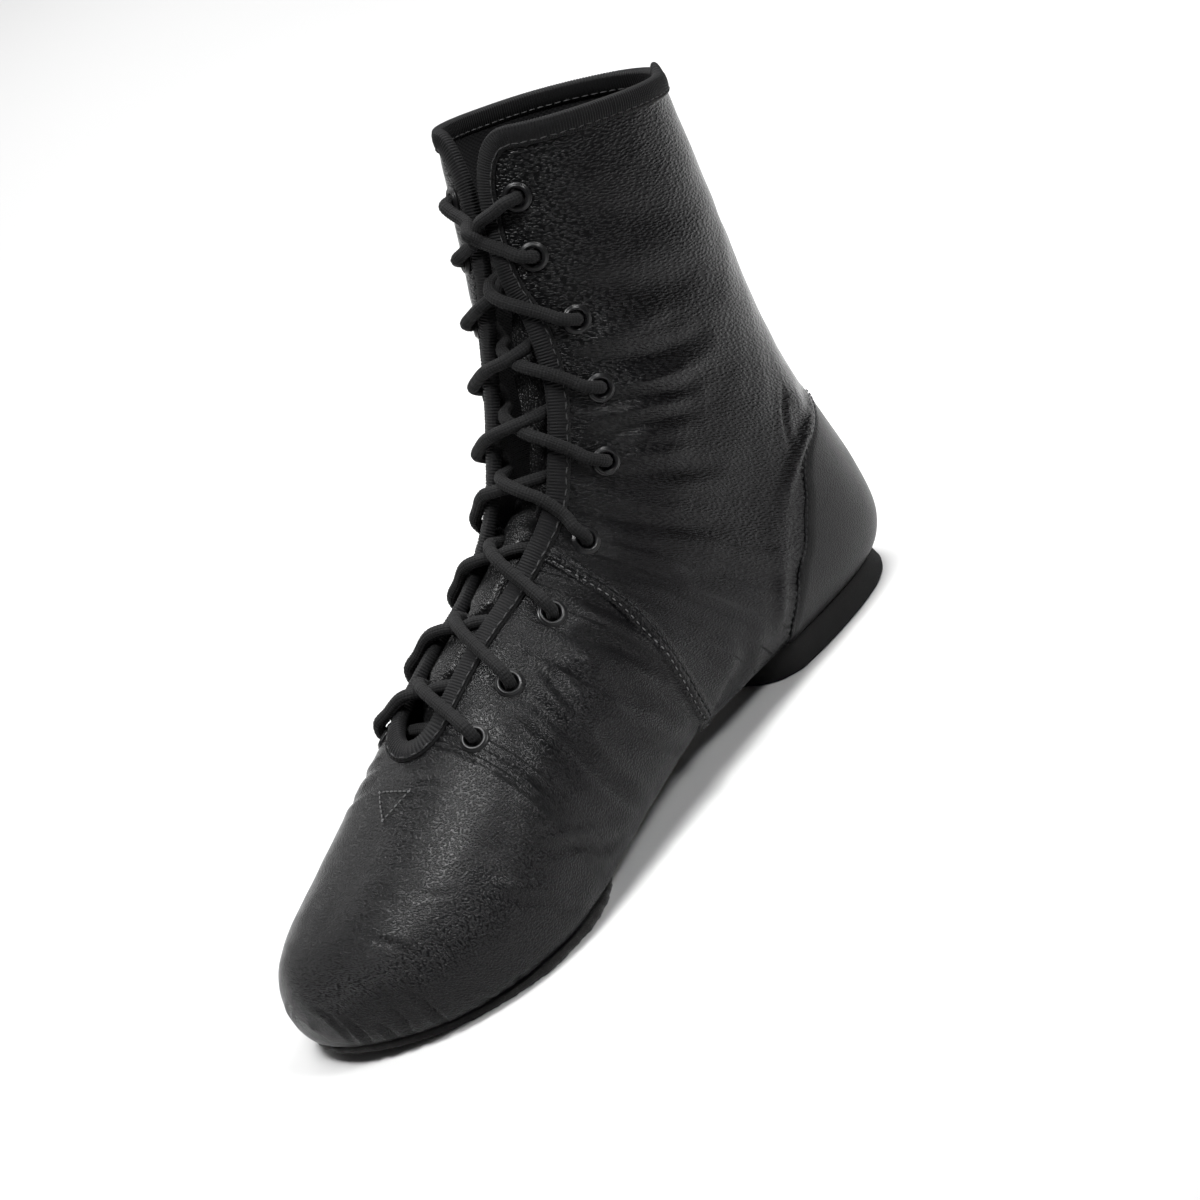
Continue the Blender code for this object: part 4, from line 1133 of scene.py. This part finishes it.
def build_eyelets():
    angles = round_angles(40)
    sheets = []
    for middle, across, rise, normal in eyelet_frames():
        spoke = np.outer(np.cos(angles), across) + np.outer(np.sin(angles), rise)
        rings = [middle + spoke * r + normal * h for r, h in EYELET_PROFILE + EYELET_PROFILE[:1]]
        sheets.append((np.stack(rings, axis=1), np.zeros((len(angles), len(rings), 2))))
    mesh = mesh_of(joined_sheets(sheets), "boot_eyelets")
    names = ["eyelet_%s_%d" % (side, k) for side in ("lateral", "medial") for k in range(1, 10)]
    return finish_piece(mesh, (enamel_black,), names, merge=0.002)


build_eyelets()


# Tube of braided lace along a line of points
def lace_tube(line, radius, sides=24):
    tangent = unit(np.gradient(line, axis=0))
    side = np.zeros_like(line)
    side[0] = unit(np.cross(tangent[0], (0.3, 0.5, 0.8)))
    for k in range(1, len(line)):
        side[k] = unit(side[k - 1] - tangent[k] * (side[k - 1] @ tangent[k]))
    high = np.cross(tangent, side)
    angles = round_angles(sides)
    run = run_length(line)
    braid = 0.09 * np.sin(angles * 4.0 + run[:, None] * 2.6) * np.sin(angles * 4.0 - run[:, None] * 2.6)
    girth = radius * (1.0 + braid)
    girth[0] *= 0.8
    girth[-1] *= 0.8
    tube = line[:, None] + girth[:, :, None] * (
        np.cos(angles)[None, :, None] * side[:, None] + np.sin(angles)[None, :, None] * high[:, None])
    round_marks = np.linspace(0.0, 8.0, sides + 1)
    twist = run[:, None] * 0.55
    marks = np.stack((round_marks[None, :] + twist, round_marks[None, :] - twist), -1)
    return tube, marks


LATERAL_ON_TOP = (True, True, False, False, True, True, True, True)
LACE_OVER = TAPE_GAP + TAPE_THICK + LACE_RADIUS + 0.3
LACE_UNDER = -LEATHER_WALL - 1.6 - LACE_RADIUS


# Points of one leg, up through its lower eyelet, over one facing and under the other, or over both at the top
def lace_leg(level, from_side, top):
    low = EYELETS[level + 1]
    high = EYELETS[level]
    lateral = from_side == "lateral"
    sign = 1.0 if lateral else -1.0
    from_table, to_table = (FACING_LATERAL, FACING_MEDIAL) if lateral else (FACING_MEDIAL, FACING_LATERAL)
    start_x = sign * (low[1] if lateral else low[2])
    end_x = -sign * (high[2] if lateral else high[1])
    first_edge = sign * (float(facing(low[0], from_table)) - 0.6)
    last_edge = -sign * (float(facing(high[0], to_table)) + 0.5)
    mid_station = 0.5 * (low[0] + high[0])
    centre = sign * float(facing(mid_station, from_table) - facing(mid_station, to_table)) * 0.5

    def spot(part, x, lift):
        station = low[0] + (high[0] - low[0]) * part
        return skin(np.array(station), turn_at(station, x), lift).reshape(3)

    def shared(first, second, share):
        return first * (1.0 - share) + second * share

    pile = 2.2 if top else -1.2
    points = [
        spot(0.0, start_x + sign * 0.3, -3.6), spot(0.0, start_x + sign * 0.1, -0.8),
        spot(0.012, start_x - sign * 0.35, 1.3), spot(0.06, start_x - sign * 2.6, LACE_OVER - 0.1),
        spot(0.17, shared(start_x, first_edge, 0.5), LACE_OVER - 0.6), spot(0.33, first_edge, LACE_OVER)]
    if level == 0:
        return points + [
            spot(0.42, shared(first_edge, centre, 0.55), LACE_OVER + 0.4 + pile * 0.6),
            spot(0.5, centre, LACE_OVER + 1.0 + pile * 1.15),
            spot(0.58, shared(last_edge, centre, 0.55), LACE_OVER + 0.4 + pile * 0.6),
            spot(0.68, last_edge, LACE_OVER), spot(0.84, shared(end_x, last_edge, 0.5), LACE_OVER + 0.15),
            spot(0.955, end_x + sign * 2.4, LACE_OVER + 0.4), spot(0.99, end_x + sign * 0.3, 1.2),
            spot(1.0, end_x, -1.0), spot(1.0, end_x, -4.2)]
    return points + [
        spot(0.43, shared(first_edge, centre, 0.55), LACE_OVER * 0.75 + pile * 0.5),
        spot(0.52, centre, 0.4 + pile), spot(0.60, shared(last_edge, centre, 0.66), pile * 0.7),
        spot(0.68, shared(last_edge, centre, 0.34), pile * 0.4 - 1.6), spot(0.76, last_edge, LACE_UNDER + 0.2),
        spot(0.86, shared(last_edge, end_x, 0.45), LACE_UNDER - 0.2),
        spot(0.95, shared(last_edge, end_x, 0.8), LACE_UNDER + 0.2)]


# One lace in two strands that cross from eyelet to eyelet, joined by the bar inside the lowest pair
def lace_lines():
    low = EYELETS[8]
    bar = []
    for part in np.linspace(0.0, 1.0, 6):
        x = (low[1] - 3.0) * (1.0 - part) - (low[2] - 3.0) * part
        bar.append(skin(np.array(low[0]), turn_at(low[0], x), LACE_UNDER).reshape(3))
    lines = []
    for strand in ("lateral", "medial"):
        side = strand
        route = bar[2:0:-1] if side == "lateral" else bar[2:5]
        for level in range(7, -1, -1):
            top = LATERAL_ON_TOP[level] == (side == "lateral")
            route = route + lace_leg(level, side, top)
            side = "medial" if side == "lateral" else "lateral"
        lines.append(even_line(smooth_line(np.array(route), len(route) * 14), 0.45))
    return lines


LACE_LINES = lace_lines()


def build_lace():
    mesh = closed_sheets("boot_lace", [lace_tube(line, LACE_RADIUS) for line in LACE_LINES])
    names = ["lace_bar"] + ["lace_cross_%d" % k for k in range(1, 9)]
    finish_piece(mesh, (lace_cloth,), names, merge=0.001)


build_lace()


# How far the lace presses soft leather down at points under it
def lace_press(points, normal):
    drop = np.zeros(len(points))
    for line in LACE_LINES:
        for spot in line[::4]:
            gap = spot - points
            depth = (gap * normal).sum(1)
            apart = np.maximum((gap * gap).sum(1) - depth * depth, 0.0)
            limit = depth - LACE_RADIUS - 0.15 + 0.25 * apart
            near = (apart < 60.0) & (depth > -14.0)
            drop[near] = np.minimum(drop[near], limit[near])
    return drop


def build_tongue():
    stations = np.linspace(TONGUE[0][0], TONGUE[-1][0], 230)
    medial_edge = along(TONGUE, stations, 1)
    lateral_edge = along(TONGUE, stations, 2)
    side = along(TONGUE, stations, 3)[:, None]
    middle = along(TONGUE, stations, 4)[:, None]
    share = np.linspace(0.0, 1.0, 64)
    x = medial_edge[:, None] + (lateral_edge - medial_edge)[:, None] * share[None, :]
    grid = np.broadcast_to(stations[:, None], x.shape)
    lateral = facing(stations, FACING_LATERAL)[:, None]
    medial = facing(stations, FACING_MEDIAL)[:, None]
    heart = (lateral - medial) * 0.5
    half = np.maximum((lateral + medial) * 0.5, 4.0)
    round_in = np.maximum(1.0 - ((x - heart) / half) ** 4, 0.0) ** 1.2
    depth = side + (middle - side) * round_in
    turns = turn_at(grid, x)
    bare = skin(grid, turns, -depth)
    ruffle = slack(bare.reshape(-1, 3)).reshape(x.shape) * 1.6
    normal = skin_axes(grid, turns)[2]
    loose = skin(grid, turns, -depth + ruffle)
    press = lace_press(loose.reshape(-1, 3), normal.reshape(-1, 3)).reshape(x.shape)
    outside = skin(grid, turns, -depth + ruffle + press)
    inside = skin(grid, turns, -depth + ruffle + press - 1.5)
    return shell_piece(
        "boot_tongue", outside, inside, flat_marks(bare), (tongue_black,), ("tongue",))


build_tongue()


def outline_loop(table, count):
    first = table[0][0]
    last = table[-1][0]
    at = first + (last - first) * 0.5 * (1.0 - np.cos(np.pi * np.linspace(0.0, 1.0, count)))
    lateral = along(table, at, 1)
    medial = along(table, at, len(table[0]) - 1)
    loop = np.concatenate((np.stack((lateral, at), -1), np.stack((-medial[::-1], at[::-1]), -1)))
    closed = np.concatenate((loop, loop[:1]))
    return even_line(closed, 1.2)


# Rings of a pad, underside to top: share of the outline, growth, raggedness, share of the seat height, rise
SOLE_MIDDLE = 200.0
SOLE_LEVELS = (
    *((share, 0.0, 0.0, 1.0, -SUEDE_THICK) for share in (0.02, 0.3, 0.6, 0.85)),
    (1.0, -0.4, 1.0, 1.0, -SUEDE_THICK), (1.0, 0.05, 1.0, 1.0, 0.35 - SUEDE_THICK),
    (1.0, 0.1, 0.6, 1.0, -0.5 * SUEDE_THICK), (1.0, 0.0, 1.0, 1.0, -0.25), (1.0, -0.4, 1.0, 1.0, 0.0),
    *((share, 0.0, 0.0, 1.0, 0.0) for share in (0.85, 0.6, 0.3, 0.02)))
SOLE_EDGE_RING = 6
HEEL_MIDDLE = 33.0
HEEL_LEVELS = (
    *((share, 0.0, 0.0, 0.0, 0.0) for share in (0.02, 0.4, 0.8)),
    (1.0, 0.2, 0.0, 0.0, 0.0), (1.0, 1.0, 0.0, 0.0, 0.15), (1.0, 1.45, 0.0, 0.0, 0.6),
    (1.0, 1.6, 0.0, 0.0, 1.3), (1.0, 1.25, 0.0, 0.3, 0.0), (1.0, 0.75, 0.0, 0.55, 0.0),
    (1.0, 0.3, 0.0, 0.8, 0.0), (1.0, 0.05, 0.0, 1.0, -0.5), (1.0, -0.3, 0.0, 1.0, -0.1),
    *((share, -0.6, 0.0, 1.0, 0.0) for share in (1.0, 0.8, 0.4, 0.02)))


def pad_rings(loop, middle_s, levels):
    centre = np.array((0.0, middle_s))
    away = loop - centre
    reach = np.linalg.norm(away, axis=1, keepdims=True)
    count = np.arange(len(loop))
    wander = 0.35 * np.sin(count * 1.9) * np.sin(count * 0.73 + 1.0)
    wander[-1] = wander[0]
    rings = []
    for share, grow, ragged, seat_share, rise in levels:
        flat = centre + away * share + away / reach * (grow + ragged * wander[:, None])
        height = (along(LAST_BOTTOM, flat[:, 1]) - GAP) * seat_share + rise
        rings.append(np.stack((flat[:, 0] - CENTRE_X, CENTRE_S - flat[:, 1], height), -1))
    return np.stack(rings, axis=1)


# Suede forefoot pad with a raw cut edge
def build_sole():
    places = pad_rings(outline_loop(SOLE_OUTLINE, 90), SOLE_MIDDLE, SOLE_LEVELS)
    mesh = closed_sheets("boot_forefoot_sole", [(places, places[:, :, :2])])
    finish_piece(mesh, (suede_raw,), ("forefoot_sole",))
    build_fuzz(places[:-1, SOLE_EDGE_RING])


# Steady stand-in for a random number from 0 to 1
def scatter(seed, pace, start, scale):
    wave = math.sin(seed * pace + start) * scale
    return wave - math.floor(wave)


# Loose fibres along the cut edge of the suede, each a thin three-sided spike
FIBRES_A_STEP = 7
FIBRE_RADIUS = 0.055


def build_fuzz(edge):
    out = unit((edge - np.array((-CENTRE_X, CENTRE_S - SOLE_MIDDLE, 0.0))) * (1.0, 1.0, 0.0))
    high = np.array((0.0, 0.0, FIBRE_RADIUS))
    verts = []
    faces = []
    for seed in range(len(edge) * FIBRES_A_STEP):
        k, j = divmod(seed, FIBRES_A_STEP)
        chance = scatter(seed, 12.9898, 0.0, 43758.5453)
        rise = (scatter(seed, 78.233, 1.0, 24634.6345) - 0.5) * 1.7
        along_edge = (edge[(k + 1) % len(edge)] - edge[k]) * (j / FIBRES_A_STEP)
        root = edge[k] + along_edge + np.array((0.0, 0.0, rise)) - out[k] * 0.25
        way = out[k] + np.array((math.sin(seed * 2.1) * 0.6, math.cos(seed * 3.7) * 0.6, (chance - 0.5) * 1.2))
        way = way / np.linalg.norm(way) * (0.35 + 1.0 * chance * chance)
        side = np.cross(way, (0.0, 0.0, 1.0))
        side = side / max(np.linalg.norm(side), 0.01) * FIBRE_RADIUS
        base = len(verts)
        verts += [root + side, root - side * 0.5 + high, root - side * 0.5 - high, root + way]
        faces += [(base + a, base + b, base + c) for a, b, c in ((0, 1, 3), (1, 2, 3), (2, 0, 3), (0, 2, 1))]
    mesh = bpy.data.meshes.new("boot_suede_fuzz")
    mesh.from_pydata([tuple(v * MM) for v in verts], [], faces)
    mesh.uv_layers.new(name="lay")
    finish_piece(mesh, (suede_raw,), (), merge=0.0)


build_sole()


# Low rubber heel pad, flared to the floor, with a rounded edge
def build_heel():
    places = pad_rings(outline_loop(HEEL_OUTLINE, 90), HEEL_MIDDLE, HEEL_LEVELS)
    mesh = closed_sheets("boot_heel", [(places, places[:, :, :2])])
    return finish_piece(mesh, (heel_crumb,), ("heel",))


build_heel()

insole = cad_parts["insole"]
insole.data.materials.clear()
insole.data.materials.append(insole_cloth)


# Pale floor
def build_floor():
    bm = bmesh.new()
    bmesh.ops.create_grid(bm, x_segments=1, y_segments=1, size=6.0)
    mesh = mesh_of(bm, "floor")
    made, _, shader = new_material("floor_pale")
    shader.inputs["Base Color"].default_value = (0.62, 0.62, 0.62, 1.0)
    shader.inputs["Roughness"].default_value = 0.9
    shader.inputs["Specular IOR Level"].default_value = 0.1
    mesh.materials.append(made)
    floor = bpy.data.objects.new("floor", mesh)
    bpy.context.scene.collection.objects.link(floor)


build_floor()

# Camera at the photograph's angle to the boot
VIEW_AZIMUTH = 56.0
VIEW_ELEVATION = 25.0
VIEW_ROLL = 29.457
VIEW_DISTANCE = 1600.0
VIEW_AIM = (-3.2, 25.4, 52.9)
VIEW_LENS = 156.74


def view_axes():
    a = math.radians(VIEW_AZIMUTH)
    e = math.radians(VIEW_ELEVATION)
    r = math.radians(VIEW_ROLL)
    back = Vector((math.sin(a) * math.cos(e), -math.cos(a) * math.cos(e), math.sin(e)))
    right = Vector((math.cos(a), math.sin(a), 0.0))
    up = back.cross(right)
    return right * math.cos(r) - up * math.sin(r), right * math.sin(r) + up * math.cos(r), back


def build_camera():
    side, high, back = view_axes()
    lens = bpy.data.cameras.new("camera")
    lens.lens = VIEW_LENS
    lens.sensor_width = 36.0
    lens.clip_start = 0.05
    lens.clip_end = 50.0
    camera = bpy.data.objects.new("camera", lens)
    turned = Matrix((side, high, back)).transposed().to_4x4()
    place = (Vector(VIEW_AIM) + back * VIEW_DISTANCE) * MM
    camera.matrix_world = Matrix.Translation(place) @ turned
    bpy.context.scene.collection.objects.link(camera)
    bpy.context.scene.camera = camera


build_camera()


# Soft studio lamps: name, place and aim in metres, turn, width, height, power, beam angle
LAMPS = (
    ("lamp_front_top", (0.05, -0.42, 1.25), (0.0, -0.05, 0.05), 20.0, 0.30, 0.18, 1.9, 70.0),
    ("lamp_near_floor", (0.30, -0.30, 1.2), (0.25, -0.24, 0.0), 0.0, 0.4, 0.4, 0.9, 44.0),
    ("lamp_far_floor", (-0.75, 0.45, 1.4), (-0.72, 0.43, 0.0), 0.0, 0.6, 0.6, 6.0, 80.0),
    ("lamp_behind", (0.0, 0.55, 0.85), (-0.03, 0.33, 0.0), 0.0, 0.45, 0.45, 2.1, 60.0),
    ("lamp_outer_side", (0.85, 0.28, 1.0), (0.0, -0.01, 0.10), 0.0, 0.5, 0.5, 0.42, 18.0),
    ("lamp_inner_side", (-1.45, 0.13, 0.75), (0.0, 0.0, 0.08), 0.0, 1.2, 0.8, 1.2, 70.0))


def build_lamps():
    for name, place, aim, turn, width, height, power, beam in LAMPS:
        way = Vector(place) - Vector(aim)
        glow = bpy.data.lights.new(name, "AREA")
        glow.shape = "RECTANGLE"
        glow.size = width
        glow.size_y = height
        glow.energy = power
        glow.spread = math.radians(beam)
        lamp = bpy.data.objects.new(name, glow)
        faced = way.to_track_quat("Z", "Y").to_matrix().to_4x4()
        rolled = Matrix.Rotation(math.radians(turn), 4, "Z")
        lamp.matrix_world = Matrix.Translation(Vector(place)) @ faced @ rolled
        bpy.context.scene.collection.objects.link(lamp)
    world = bpy.data.worlds.new("studio")
    world.use_nodes = True
    background = world.node_tree.nodes["Background"]
    background.inputs["Color"].default_value = (1.0, 1.0, 1.0, 1.0)
    background.inputs["Strength"].default_value = 0.05
    bpy.context.scene.world = world
    bpy.context.scene.view_settings.view_transform = "Standard"


build_lamps()
